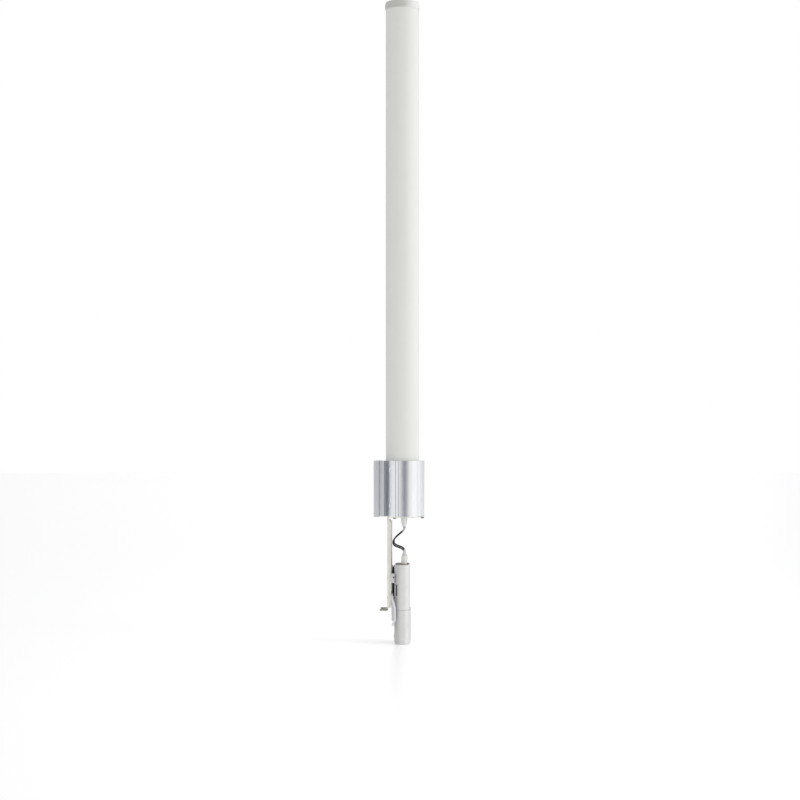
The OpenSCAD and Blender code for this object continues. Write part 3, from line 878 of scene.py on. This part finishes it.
def make_cap():
    """The end cap: an eased top edge, a fine groove above the rim, and a spigot inside the tube."""
    low, high = extent("top_cap")
    edge = high.x
    bore = extent("radome_tube")[1].x
    rim = high.z - 14
    cap = turned([
        (0, high.z), (edge - 1.2, high.z, 2.6), (edge, high.z - 6), (edge, rim + 3.4, 0.3),
        (edge - 0.45, rim + 3.2, 0.2), (edge - 0.45, rim + 2.5, 0.2), (edge, rim + 2.3, 0.3),
        (edge, rim, 0.6), (bore + 0.1, rim, 0.3), (bore + 0.1, high.z - 4.4), (bore - 2.3, high.z - 4.4),
        (bore - 2.3, low.z, 0.4), (bore - 4.8, low.z, 0.4), (bore - 4.8, high.z - 7), (0, high.z - 7),
    ], steps=144)
    piece("end_cap", cap, "antenna", "cap", ["top_cap"])


SEAT_R = 25.5
RING_R = 38
TOOTH = 0.7


def seat_teeth(start, ear_x, teeth=22):
    """Half of the toothed pole seat, from its middle round to the ear's back face."""
    points = [(POLE_X + SEAT_R, 0)]
    for i in range(1, teeth + 1):
        angle = start * (i - 0.5) / teeth
        half = start / teeth * 0.34
        for a, r in ((angle - half, SEAT_R), (angle - half * 0.5, SEAT_R + TOOTH),
                     (angle + half * 0.5, SEAT_R + TOOTH), (angle + half, SEAT_R)):
            points.append((POLE_X + r * math.cos(math.radians(a)), r * math.sin(math.radians(a))))
    return [point for point in points if point[0] > ear_x]


def extrusion_outline():
    """The extrusion's cross-section: toothed seat, ears, neck, ring, groove and front screw port."""
    low, high = extent("mounting_extrusion")
    ear_front = low.x + 9.8
    neck_x, neck_y = POLE_X + 29, 20
    port_y = 4.5
    seat_start = math.degrees(math.acos((low.x - POLE_X) / SEAT_R))
    half = seat_teeth(seat_start, low.x)
    half += rounded([
        (low.x, SEAT_R * math.sin(math.radians(seat_start)), 0.8), (low.x, high.y, 1.2),
        (ear_front, high.y, 1.2), (ear_front, neck_y, 1.4), (neck_x, neck_y, 1.0),
    ], closed=False)
    ring_start = math.degrees(math.atan2(math.sqrt(RING_R ** 2 - neck_x ** 2), neck_x))
    rear, front = GROOVE_X
    to_groove = math.degrees(math.acos(rear / RING_R))
    from_groove = math.degrees(math.acos(front / RING_R))
    half += arc((0, 0), RING_R, ring_start - 2, to_groove, 26)
    floor = RING_R * math.sin(math.radians(to_groove)) - 1.0
    half += [(rear, floor - 0.5), (rear + SLIT, floor - 0.5), (rear + SLIT, floor + 0.5),
             (front - SLIT, floor + 2.1), (front - SLIT, floor), (front, floor)]
    half += arc((0, 0), RING_R, from_groove, math.degrees(math.asin(port_y / RING_R)), 52)
    port = rounded([(RING_R - 1, port_y), (high.x, port_y - 2.3, 1.8), (high.x, 0)], closed=False)
    return mirrored(half + port[1:])


def make_extrusion():
    """The mounting extrusion, bored for the tube and drilled for its screw and the clamp bolts."""
    low, high = extent("mounting_extrusion")
    bore = circle((0, 0), 32.35, 144)
    port = circle((39, 0), 1.9)
    body = slab([extrusion_outline(), bore, port], low.z, high.z, 0.25)
    holes = [rod((POLE_X + 8, y, z), 4.25, 13, ALONG_X) for y in (-36, 36) for z in (-35, 35)]
    piece("mounting_extrusion_body", carve(body, "DIFFERENCE", joined(*holes)), "antenna",
          "extruded_aluminium", ["mounting_extrusion"], sharp=24)


make_radome()
make_cap()
make_extrusion()

# ---------------------------------------------------------------- folded bracket

SHEET_T = 2.0
BEND_IN = 0.8
BEND_LEN = math.pi / 2 * (BEND_IN + SHEET_T / 2)
sheet_low, sheet_high = extent("radio_bracket")
WEB_X = -28.5
WEB_Y = 28.0
TOP_BEND = sheet_high.z - SHEET_T - BEND_IN
FOOT_BEND = sheet_low.z + SHEET_T + BEND_IN
SIDE_BEND = WEB_Y - SHEET_T - BEND_IN
WEB_SCREW_Z = (-175, -212)


def bend(along, depth_from_inside):
    """How far a point of the sheet goes on and across, past the start of a fold."""
    radius = BEND_IN + depth_from_inside
    angle = min(along / BEND_LEN, 1) * math.pi / 2
    rest = max(along - BEND_LEN, 0)
    return radius * math.sin(angle), radius * math.cos(angle), rest


def fold(point):
    """A point of the flat blank (height along the web, width, depth) in the folded bracket."""
    u, v, w = point
    centre_in = WEB_X + SHEET_T + BEND_IN
    if u > TOP_BEND:
        rise, back, rest = bend(u - TOP_BEND, SHEET_T - w)
        return Vector((centre_in - back + rest, v, TOP_BEND + rise))
    if u < FOOT_BEND:
        drop, back, rest = bend(FOOT_BEND - u, w)
        return Vector((WEB_X - BEND_IN + back - rest, v, FOOT_BEND - drop))
    if abs(v) > SIDE_BEND:
        out, back, rest = bend(abs(v) - SIDE_BEND, SHEET_T - w)
        return Vector((centre_in - back + rest, math.copysign(SIDE_BEND + out, v), u))
    return Vector((WEB_X + w, v, u))


def on_plate(x):
    """Where a point of the top plate lies along the flat blank."""
    return TOP_BEND + BEND_LEN + x - (WEB_X + SHEET_T + BEND_IN)


def on_foot(x):
    """Where a point of the foot lies along the flat blank."""
    return FOOT_BEND - BEND_LEN + x - (WEB_X - BEND_IN)


def bracket_blank():
    """The flat blank's outline and its holes, before the folds."""
    tip, apex = sheet_low.x, -33.0
    spread = (apex - tip) * math.tan(math.radians(56.5))
    flange_v = SIDE_BEND + BEND_LEN + 8 - SHEET_T - BEND_IN
    relief = SIDE_BEND - 0.8
    start, end = FOOT_BEND + 1.6, -60.5
    plate_r, tab_y = 33, 7
    half = rounded([
        (on_foot(apex), 0), (on_foot(tip), spread, 0.8), (on_foot(tip), WEB_Y, 3),
        (FOOT_BEND - 1.4, WEB_Y, 0.6), (FOOT_BEND - 1.4, relief, 0.5),
        (start, relief, 0.5), (start, flange_v, 5), (end - 4, flange_v, 3), (end, flange_v - 4, 0.8),
        (end, relief, 0.5), (TOP_BEND + 1.4, relief, 0.5), (TOP_BEND + 1.4, WEB_Y, 0.6),
    ], closed=False)
    begin = math.degrees(math.atan2(WEB_Y, -math.sqrt(plate_r ** 2 - WEB_Y ** 2)))
    finish = math.degrees(math.asin(tab_y / plate_r))
    plate = arc((0, 0), plate_r, begin, finish, 30)
    plate += rounded([(34, tab_y), (sheet_high.x, tab_y, 2), (sheet_high.x, 0)], closed=False)[1:]
    half += [(on_plate(x), y) for x, y in plate]
    holes = [circle((on_plate(JACK_X), sign * JACK_Y), 3.17) for sign in (1, -1)]
    holes += [circle((on_plate(-14), sign * 22), 2.1) for sign in (1, -1)]
    holes += [circle((on_plate(19.5), 0), 1.9), circle((on_plate(39), 0), 2.1)]
    holes += [circle((z, 0), 2.1) for z in WEB_SCREW_Z]
    return [mirrored(half)] + holes


def make_bracket():
    """The radio bracket: the blank cut across at each step of its bends, then folded."""
    blank = slab(bracket_blank(), 0, SHEET_T, 0.18)
    bm = bmesh.new()
    bm.from_mesh(blank)
    steps = 7
    cuts = [(Vector((u0 + sign * BEND_LEN * k / steps, 0, 0)), Vector((1, 0, 0)))
            for u0, sign in ((TOP_BEND, 1), (FOOT_BEND, -1)) for k in range(steps + 1)]
    cuts += [(Vector((0, sign * (SIDE_BEND + BEND_LEN * k / steps), 0)), Vector((0, 1, 0)))
             for sign in (1, -1) for k in range(steps + 1)]
    for at, across in cuts:
        whole = bm.verts[:] + bm.edges[:] + bm.faces[:]
        bmesh.ops.bisect_plane(bm, geom=whole, plane_co=at, plane_no=across)
    for vert in bm.verts:
        vert.co = fold(vert.co)
    piece("folded_bracket", mesh_of(bm), "antenna", "zinc_steel", ["radio_bracket"], sharp=28)


make_bracket()

# ---------------------------------------------------------------- fasteners and plugs


def pan_screw(head_r, head_t, shank_r, shank_len, recess_r):
    """A pan-head screw that hangs head down from z = 0, with a six-lobed recess."""
    screw = turned([
        (0, -head_t), (head_r * 0.82, -head_t, 0.9), (head_r, -head_t * 0.35, 0.5), (head_r, 0, 0.15),
        (shank_r, 0), (shank_r, shank_len - 0.6), (shank_r - 0.6, shank_len), (0, shank_len),
    ])
    lobes = 6
    points = 48
    outline = []
    for k in range(points):
        a = math.tau * k / points
        reach = recess_r + 0.22 * math.cos(lobes * a)
        outline.append((reach * math.cos(a), reach * math.sin(a)))
    recess = slab([outline], -head_t - 1, -head_t + head_t * 0.55, 0.02)
    return carve(screw, "DIFFERENCE", recess)


def make_screws():
    """The bracket's three screws under its top plate, and the cradle's two on the web's back."""
    plate = extent("bracket_screws")[1].z - 12
    screw = pan_screw(3.5, 2.2, 1.9, 12, 1.25)
    spots = [(-14, 22, plate), (-14, -22, plate), (39, 0, plate)]
    piece("plate_screws", repeated(screw, spots, "screw_steel", 0.4), "antenna", "screw_steel",
          ["bracket_screws"])
    web = pan_screw(3.5, 1.4, 1.9, 6.5, 1.25)
    spots = [(-z, 0, WEB_X) for z in WEB_SCREW_Z]
    piece("web_screws", repeated(web, spots, "screw_steel", 0.5, ALONG_X), "antenna", "screw_steel",
          ["cradle_screws"])


def make_vent():
    """The drain plug through the bracket's top plate, with a dimple in its head."""
    low, high = extent("vent_plug")
    head = low.z + 1.8
    plug_body = turned([
        (0, low.z + 0.25), (0.7, low.z + 0.25), (0.8, low.z, 0.1), (1.9, low.z, 0.6), (2.4, head - 0.7, 0.3),
        (2.4, head), (1.85, head), (1.85, high.z), (0, high.z),
    ], ((low.x + high.x) / 2, 0, 0))
    piece("drain_plug", plug_body, "antenna", "black_plastic", ["vent_plug"])


make_screws()
make_vent()

# ---------------------------------------------------------------- coaxial ends

BOOT_LEN = 16.5
BOOT_R = 5.15


def boot_shape(straight, tail_r):
    """A moulded boot from z = 0 up: a ribbed grip, a taper and a ringed tail."""
    outside = [(BOOT_R, 0.6, 0.4), (BOOT_R, straight, 1.2)]
    tail = BOOT_LEN - straight
    rings = 3
    for k in range(rings):
        z = straight + tail * (0.42 + 0.16 * k)
        r = BOOT_R + (tail_r - BOOT_R) * (z - straight) / tail
        outside += [(r, z - 0.25), (r - 0.35, z, 0.1), (r - 0.1, z + 0.25)]
    outside += [(tail_r, BOOT_LEN, 0.5)]
    inside = [(2.6, BOOT_LEN), (2.6, 11.6), (4.9, 11.6), (4.9, 0.6)]
    wall = lathe(rounded(outside + inside), steps=64, ring=True)
    collar = lathe(rounded([(5.1, 0.6), (5.5, 0.6, 0.25), (5.5, 1.6, 0.25), (5.1, 1.9)], closed=False)
                   + [(5.0, 1.9), (5.0, 0.6)], steps=64, ring=True)
    ribs = RING.grow([(0, 0, (straight + 2.2) / 2)], "boot", Count=22, Radius=BOOT_R, Width=0.55,
                     Depth=0.36, Height=straight - 3.2)
    return joined(wall, collar, ribs)


def make_boots():
    """The four boots: the upper two tail down, the lower two tail up with a longer grip."""
    kinds = {"top": (9.5, 3.6, DOWN), "bottom": (13.5, 4.6, XY)}
    for level, (straight, tail_r, turn) in kinds.items():
        for side, sign in SIDES.items():
            node = f"boot_{level}_{side}"
            low, high = extent(node)
            z = high.z + 0.6 if level == "top" else low.z - 0.6
            mesh = boot_shape(straight, tail_r)
            mesh.transform(Matrix.Translation((JACK_X, sign * JACK_Y, z)) @ turn)
            piece(f"{level}_boot_{side}", mesh, f"coupling_{level}_{side}", "boot", [node])


def make_radio_jacks():
    """The radio's two antenna jacks: a hexagon nut, a hollow barrel and its thread."""
    plate = extent("radio_top_plate")[1].z
    for side, sign in SIDES.items():
        node = f"radio_jack_{side}"
        low, high = extent(node)
        y = sign * JACK_Y
        nut = slab([circle((JACK_X, y), 5.5, 6)], plate, plate + 3.5, 0.3)
        barrel = turned([
            (0, low.z), (3.1, low.z), (3.1, plate), (2.85, plate + 3.5), (2.85, high.z, 0.3),
            (2.3, high.z, 0.2), (2.3, high.z - 6), (0, high.z - 6),
        ], (JACK_X, y, 0))
        thread = THREAD.grow([(JACK_X, y, plate + 3.9)], "gold", Radius=2.86, Pitch=0.72, Turns=9.0,
                             Depth=0.3)
        piece(f"radio_jack_{side}_body", joined(nut, barrel, thread), "radio", "gold", [node])


make_boots()
make_radio_jacks()

# ---------------------------------------------------------------- cradle and latch

cradle_low, cradle_high = extent("cradle")
PLATE_X = (-20.3, -18.7)
HOOK_Z = (-181, -163)
PIVOT = (-18.65, -208)
EAR_Z = (PIVOT[1] - 6, PIVOT[1] + 6)
HOOK_PIN = (-15.5, 36, -170)


def make_cradle():
    """The cradle: a plate on the bracket's web, with a hook and a hinge ear on either side."""
    plate = slab_yz([box_outline((-24, cradle_low.z), (24, cradle_high.z), 3)], *PLATE_X, 0.25)
    pad = slab_yz([box_outline((-16, -222), (16, -164), 2)], cradle_low.x, PLATE_X[0] + 0.3, 0.2)
    ledge = slab_yz([box_outline((-16, cradle_low.z), (16, -232.3), 1)], PLATE_X[0] + 0.3, -15.6, 0.3)
    back, face = PLATE_X
    hook = slab([rounded([
        (back, 23, 0.3), (back, 37, 0.8), (-13.7, 37, 0.8), (-13.7, 33, 0.5), (-15.3, 33, 0.4),
        (-15.3, 16.4, 0.4), (-16.2, 16.4, 0.4), (-16.2, 33, 0.5), (face, 33, 0.5), (face, 23, 0.3),
    ])], *HOOK_Z, 0.35)
    gusset = slab_xz([box_outline((-20.1, -196), (-18.9, -182))], 24.5, 30, 0.2)
    ear = slab_yz([rounded([
        (23, EAR_Z[0], 1), (30, EAR_Z[0], 2.4), (30, EAR_Z[1], 2.4), (23, EAR_Z[1], 1),
    ])], PLATE_X[0], -17, 0.3)
    side = carve(hook, "UNION", ear, gusset)
    side = carve(side, "DIFFERENCE", rod((PIVOT[0], 20, PIVOT[1]), 1.5, 12, ALONG_Y),
                 rod(HOOK_PIN, 1.4, 2, ALONG_Y))
    middle = carve(plate, "UNION", pad, ledge)
    holes = [rod((WEB_X, 0, z), 1.9, 7, ALONG_X) for z in WEB_SCREW_Z]
    middle = carve(middle, "DIFFERENCE", *holes)
    piece("radio_cradle", joined(middle, both_sides(side)), "antenna", "cradle_plastic", ["cradle"])
    hook_pin = pin(HOOK_PIN, 1.4, 1.4, 0.3, ALONG_Y)
    piece("hook_pivots", both_sides(hook_pin), "antenna", "black_plastic", ["hook_pins"])


ARM_ROUTE = [PIVOT, (-12.6, -230), (-12.6, -251), (-17, -262)]
ARM_W = 3.4


def arm_outline():
    """The latch arm's side view: a bar that follows its route, with eased corners."""
    left, right = [], []
    for i, here in enumerate(ARM_ROUTE):
        here = Vector(here)
        before = Vector(ARM_ROUTE[max(i - 1, 0)])
        after = Vector(ARM_ROUTE[min(i + 1, len(ARM_ROUTE) - 1)])
        ahead = (after - before).normalized()
        leg = ((after - here) if i == 0 else (here - before)).normalized()
        out = Vector((-ahead.y, ahead.x)) * ARM_W / 2 / ahead.dot(leg)
        ease = 3 if 0 < i < len(ARM_ROUTE) - 1 else 0.6
        left.append((*(here + out), ease))
        right.append((*(here - out), ease))
    return rounded(left + right[::-1], 6)


def make_latch():
    """The latch lever, from its hinge eyes down to the cross bar and its ribbed grip."""
    arm = slab_xz([arm_outline()], 37, 40, 0.5)
    eye = turned([(0, 0), (3, 0, 0.4), (3, 3, 0.4), (0, 3)], (PIVOT[0], 37, PIVOT[1]), 40, ALONG_Y)
    web = slab_xz([rounded([
        (-19.8, -212, 0.6), (-17.5, -212), (-13, -229), (-13, -252), (-19.4, -254, 0.8), (-19.8, -234, 1),
    ])], *LATCH_WEB_Y, 0.2)
    arm = carve(arm, "UNION", eye, web)
    arm = carve(arm, "DIFFERENCE", rod((PIVOT[0], 36, PIVOT[1]), 1.56, 5, ALONG_Y))
    bar_x, bar_z = -17.4, -262
    bar = turned([(0, 0), (2.2, 0, 0.7), (2.2, 80, 0.7), (0, 80)], (bar_x, -40, bar_z), 40, ALONG_Y)
    grip = RING.grow([(0, 0, 0)], "latch_plastic", Count=14, Radius=2.05, Width=0.4, Depth=0.26, Height=46.0)
    grip.transform(Matrix.Translation((bar_x, 0, bar_z)) @ ALONG_Y)
    piece("latch_lever", joined(both_sides(arm), bar, grip), "latch", "latch_plastic", ["latch_bail"])


def make_hinge():
    """The latch's two pivot pins, each with a torsion spring wound round it."""
    hinge_pin = pin((PIVOT[0], 24, PIVOT[1]), 1.5, 16, 0.35, ALONG_Y)
    piece("latch_pivots", both_sides(hinge_pin), "antenna", "bright_steel", ["latch_pins"])
    turns, each = 4, 28
    coil = []
    for i in range(turns * each + 1):
        a = math.tau * i / each
        coil.append(Vector((PIVOT[0] + 2.4 * math.cos(a), 31.2 + 4.6 * i / (turns * each),
                            PIVOT[1] + 2.4 * math.sin(a))))
    spring = tube(coil, [0.4] * len(coil), (0, 1, 0), 10)
    piece("latch_torsion_springs", both_sides(spring), "antenna", "bright_steel", ["latch_springs"])


make_cradle()
make_latch()
make_hinge()

# ---------------------------------------------------------------- radio

rear_low, rear_high = extent("radio_rear_shell")
front_low, front_high = extent("radio_front_shell")
cover_low, cover_high = extent("port_cover")
RADIO_X = (rear_low.x + front_high.x) / 2
RADIO_R = (front_high.x - rear_low.x) / 2
SIDE_Y = rear_high.y - RADIO_R
SEAM_Z = cover_high.z + 0.3
TONGUE_R = RADIO_R - 1.7
TONGUE_Z = rear_low.z
SPLIT_X = front_low.x
BOSSES = [(y, z) for y in (-22.5, 22.5) for z in (-166, -226)]
LIGHT_YS = [6 * (i - 2.5) for i in range(6)]
LIGHT_Z = -222
BUTTON_Y = 16
RAIL_X = -16.5


def shell_blank():
    """Both shells before they are parted: a walled body with the narrower tongue below it."""
    inner, tongue_in = RADIO_R - 2, TONGUE_R - 2
    corners = [
        (tongue_in - 3, TONGUE_Z + 2), (tongue_in, TONGUE_Z + 2, 1), (tongue_in, SEAM_Z + 2, 0.4),
        (inner, SEAM_Z + 2, 0.4), (inner, rear_high.z, 0.5), (RADIO_R, rear_high.z, 0.7),
        (RADIO_R, SEAM_Z, 0.5), (TONGUE_R, SEAM_Z, 0.4), (TONGUE_R, TONGUE_Z, 1), (TONGUE_R - 3, TONGUE_Z),
    ]
    return oval([(r, z, RADIO_X) for r, z in rounded(corners, closed=False)], SIDE_Y)


def side_slot(sign):
    """The cutter of the shallow slot in one side of the rear shell."""
    (x0, x1), (z0, z1) = SIDE_SLOT_X, SIDE_SLOT_Z
    inner, outer = sorted((sign * 34.7, sign * 41))
    return slab_xz([box_outline((x0, z0), (x1, z1), 1.2)], inner, outer, 0.1)


def make_shells():
    """The radio's two shells: one blank parted at the split, then bossed, slotted and drilled."""
    blank = shell_blank()
    rear = carve(blank, "INTERSECT", brick((-30, -60, -320), (SPLIT_X - 0.08, 60, 0)))
    boss_len = SPLIT_X - rear_low.x - 1.08
    bosses = joined(*[rod((rear_low.x + 1, y, z), 3.2, boss_len, ALONG_X, 32) for y, z in BOSSES])
    rear = carve(rear, "UNION", bosses)
    tools = [side_slot(1), side_slot(-1), brick((-10.4, -8.1, TONGUE_Z - 1), (3.3, 8.1, TONGUE_Z + 4)),
             rod((0, BUTTON_Y, TONGUE_Z - 1), 1.56, 4)]
    tools += [rod((rear_low.x - 1, y, z), 2.9, 2.7, ALONG_X, 32) for y, z in BOSSES]
    tools += [rod((rear_low.x + 1, y, z), 1.5, 24, ALONG_X, 24) for y, z in BOSSES]
    piece("rear_shell", carve(rear, "DIFFERENCE", *tools), "radio", "radio_rear", ["radio_rear_shell"])
    front = carve(blank, "INTERSECT", brick((SPLIT_X + 0.08, -60, -320), (30, 60, 0)))
    lights = [rod((SPLIT_X, y, LIGHT_Z), 0.95, 10, ALONG_X, 24) for y in LIGHT_YS]
    piece("front_shell", carve(front, "DIFFERENCE", *lights), "radio", "radio_front", ["radio_front_shell"])


def make_light_pipes():
    """The row of light pipes behind the front shell's holes."""
    start_x = extent("light_pipes")[0].x
    dot = pin((0, 0, 0), 0.92, 4, 0.3, steps=24)
    row = repeated(dot, [(-LIGHT_Z, y, start_x) for y in LIGHT_YS], "clear_light", 0.0, ALONG_X)
    piece("light_dots", row, "radio", "clear_light", ["light_pipes"])


def make_shell_screws():
    """The four screws that hold the shells together, sunk in the rear one."""
    low, high = extent("shell_screws")
    screw = pan_screw(2.85, 1.6, 1.4, high.x - low.x - 1.7, 1.05)
    spots = [(-z, y, low.x + 1.7) for y, z in BOSSES]
    piece("case_screws", repeated(screw, spots, "screw_steel", 0.45, ALONG_X), "radio", "screw_steel",
          ["shell_screws"])


def make_top_plate():
    """The dark plate sunk in the radio's top, which the jacks stand through."""
    low, high = extent("radio_top_plate")
    inner = RADIO_R - 2.05
    outline = arc((RADIO_X, SIDE_Y), inner, 0, 180, 24) + arc((RADIO_X, -SIDE_Y), inner, 180, 360, 24)
    holes = [circle((JACK_X, sign * JACK_Y), 3.2) for sign in (1, -1)]
    plate = slab([outline] + holes, low.z, high.z, 0.2)
    piece("recessed_top", plate, "radio", "dark_plate", ["radio_top_plate"])


def make_rail():
    """The T-shaped rail on the radio's back, its flange sloped at the top end."""
    low, high = extent("mount_rail")
    neck = rear_low.x
    tee = mirrored([(low.x, 0), (low.x, 20), (RAIL_X, 20), (RAIL_X, 16), (neck, 16), (neck, 0)])
    bar = slab([tee], low.z, high.z, 0.25)
    slope = slab_xz([[
        (low.x - 1, high.z - 6.1), (RAIL_X, high.z), (RAIL_X, high.z + 2), (low.x - 1, high.z + 2),
    ]], -22, 22, 0.01)
    # Painted shade in part: the rail is black plastic, and its black also stands for the deep shade in the
    # gap between cradle and radio.
    piece("slide_rail", carve(bar, "DIFFERENCE", slope), "radio", "black_plastic", ["mount_rail"])


def make_network_socket():
    """The network socket at the tongue's foot: a shell with a keyed hollow and eight contacts."""
    low, high = extent("ethernet_jack")
    shell = slab([box_outline((low.x, low.y), (high.x, high.y), 0.5)], low.z, high.z, 0.2)
    key = mirrored([(-9.2, 0), (-9.2, 3), (-7.4, 3), (-7.4, 6), (1.8, 6), (1.8, 0)])
    hollow = slab([key], low.z - 1, high.z - 6, 0.05)
    contact = brick((-0.2, -0.22, 0), (0.2, 0.22, 9))
    contacts = repeated(contact, [(1.5, 1.02 * (i - 3.5), low.z + 3) for i in range(8)], "bright_steel")
    body = joined(carve(shell, "DIFFERENCE", hollow), contacts)
    piece("network_socket", body, "radio", "bright_steel", ["ethernet_jack"])


def make_port_cover():
    """The cup that slides up over the tongue, with a finger tab and an opening for the cable."""
    cover_x = (cover_high.x + rear_low.x) / 2
    outer = (cover_high.x - rear_low.x) / 2
    inner = TONGUE_R + 0.4
    floor = cover_low.z
    shape = rounded([
        (inner - 4, floor + 3.5), (inner, floor + 3.5, 1.5), (inner, cover_high.z, 0.3),
        (outer, cover_high.z, 0.6), (outer, floor, 4.8), (outer - 8, floor),
    ], 7, closed=False)
    # The profile runs up the inside, centred on the tongue, and from the rim's outer edge on it
    # runs down the outside, centred on the cover.
    rim = shape.index(max(shape, key=lambda point: (point[1], point[0] > inner + 0.5)))
    body = oval([(r, z, RADIO_X if i < rim else cover_x) for i, (r, z) in enumerate(shape)], SIDE_Y)
    tab = slab_xz([rounded([
        (-16.2, -290, 0.4), (-16.2, -281.8, 0.8), (-14, -281, 0.3), (-14, -290, 0.3),
    ])], -6, 6, 0.2)
    body = carve(body, "UNION", tab)
    opening = slab([box_outline((-9.7, -6.5), (2.3, 6.5), 2)], floor - 1, floor + 5, 0.1)
    piece("port_cover_cup", carve(body, "DIFFERENCE", opening), "port_cover", "radio_rear", ["port_cover"])


def make_button():
    """The reset plunger beside the network socket."""
    low, high = extent("reset_button")
    plunger = turned([
        (0, low.z), (1.5, low.z, 0.3), (1.5, high.z - 0.8), (2.4, high.z - 0.8), (2.4, high.z), (0, high.z),
    ], (0, BUTTON_Y, 0), 32)
    piece("reset_plunger", plunger, "reset_button", "black_plastic", ["reset_button"])


make_shells()
make_light_pipes()
make_shell_screws()
make_top_plate()
make_rail()
make_network_socket()
make_port_cover()
make_button()

# ---------------------------------------------------------------- pieces kept from the CAD

slots = {row["node"]: row["material_slot"] for row in frame["record"]["subparts"]}
for node, thing in frame["nodes"].items():
    if not thing.hide_render:
        thing.data.materials.clear()
        thing.data.materials.append(FINISHES[slots[node]].material)

# ---------------------------------------------------------------- floor and light

WHITE = (1, 1, 1, 1)


def make_floor():
    """A pale, faintly glowing paper floor that the radio stands just above."""
    size, front = 14, 2.3
    height = cover_low.z * MM - 0.0002
    mesh = bpy.data.meshes.new("floor")
    mesh.from_pydata([(-size, -front, height), (size, -front, height), (size, size, height),
                      (-size, size, height)], [], [(0, 1, 2, 3)])
    floor = bpy.data.objects.new("floor", mesh)
    bpy.context.scene.collection.objects.link(floor)
    paper = Finish("studio_paper", (0.9, 0.9, 0.9, 1), 0.32, emission_strength=0.2)
    paper.shader.inputs["Emission Color"].default_value = WHITE
    mesh.materials.append(paper.material)


def soft_box(name, azimuth, height, distance, size, power):
    """A soft light on the object, unseen by the camera and in reflections; its azimuth counts
    from the camera's side towards +X."""
    light = bpy.data.lights.new(name, "AREA")
    light.shape = "RECTANGLE"
    light.size, light.size_y = size
    light.energy = power
    thing = bpy.data.objects.new(name, light)
    a = math.radians(azimuth)
    thing.location = (AXIS_X + distance * math.sin(a), -distance * math.cos(a), height)
    thing.rotation_euler = (Vector((AXIS_X, 0, 0.25)) - thing.location).to_track_quat("-Z", "Y").to_euler()
    thing.visible_camera = False
    thing.visible_glossy = False
    bpy.context.scene.collection.objects.link(thing)


# The tent's walls: angle in degrees from the camera's side towards +X, and brightness there.
TENT = [
    (-180, 1.02), (-172, 0.9), (-150, 0.4), (-100, 0.46), (-86, 0.68), (-78, 0.82), (-68, 0.94), (-56, 0.97),
    (-42, 0.94), (-16, 0.84), (-8, 0.7), (-2.5, 0.58), (3.4, 0.42), (10, 0.26), (18, 0.23), (27, 0.36),
    (33, 0.55), (39.5, 0.74), (46, 0.9), (56, 1.04), (68, 1.1), (134, 1.1),
    (146, 0.5), (166, 0.45), (173, 1.02), (180, 1.02),
]


def tent_colour(level):
    """The grey of the tent's wall at one brightness; those under a half are tinted cool."""
    if level < 0.5:
        return (level, level * 1.02, level * 1.15, 1)
    return (level, level, level, 1)


def make_tent():
    """A light tent that lights and is reflected in its greys, and is seen plain white."""
    world = bpy.data.worlds.new("light_tent")
    world.use_nodes = True
    bpy.context.scene.world = world
    n = Nodes(world.node_tree)
    n.tree.nodes.clear()
    way = n.node("ShaderNodeTexCoord").outputs["Generated"]
    split = n.node("ShaderNodeSeparateXYZ", None, {"Vector": way})
    across, deep, up = (n.value(socket) for socket in split.outputs)
    turn = across.math("ARCTAN2", deep * -1) / math.tau + 0.5
    ramp = n.node("ShaderNodeValToRGB", None, {"Fac": turn})
    stops = ramp.color_ramp.elements
    while len(stops) < len(TENT):
        stops.new(0.5)
    for stop, (angle, level) in zip(stops, TENT):
        stop.position = angle / 360 + 0.5
        stop.color = tent_colour(level)
    ceiling = up.step(0.55, 0.95)
    walls = n.node("ShaderNodeMix", {"data_type": "RGBA"}, {0: ceiling, 6: ramp.outputs[0], 7: WHITE})
    light = n.node("ShaderNodeBackground", None, {"Color": walls.outputs[2], "Strength": 0.98})
    plain = n.node("ShaderNodeBackground", None, {"Color": WHITE, "Strength": 1.0})
    seen = n.node("ShaderNodeLightPath").outputs["Is Camera Ray"]
    mix = n.node("ShaderNodeMixShader", None, {0: seen, 1: light.outputs[0], 2: plain.outputs[0]})
    n.node("ShaderNodeOutputWorld", None, {"Surface": mix.outputs[0]})


make_floor()
make_tent()
soft_box("key_light", azimuth=66, height=0.5, distance=2.2, size=(0.8, 2.6), power=16)
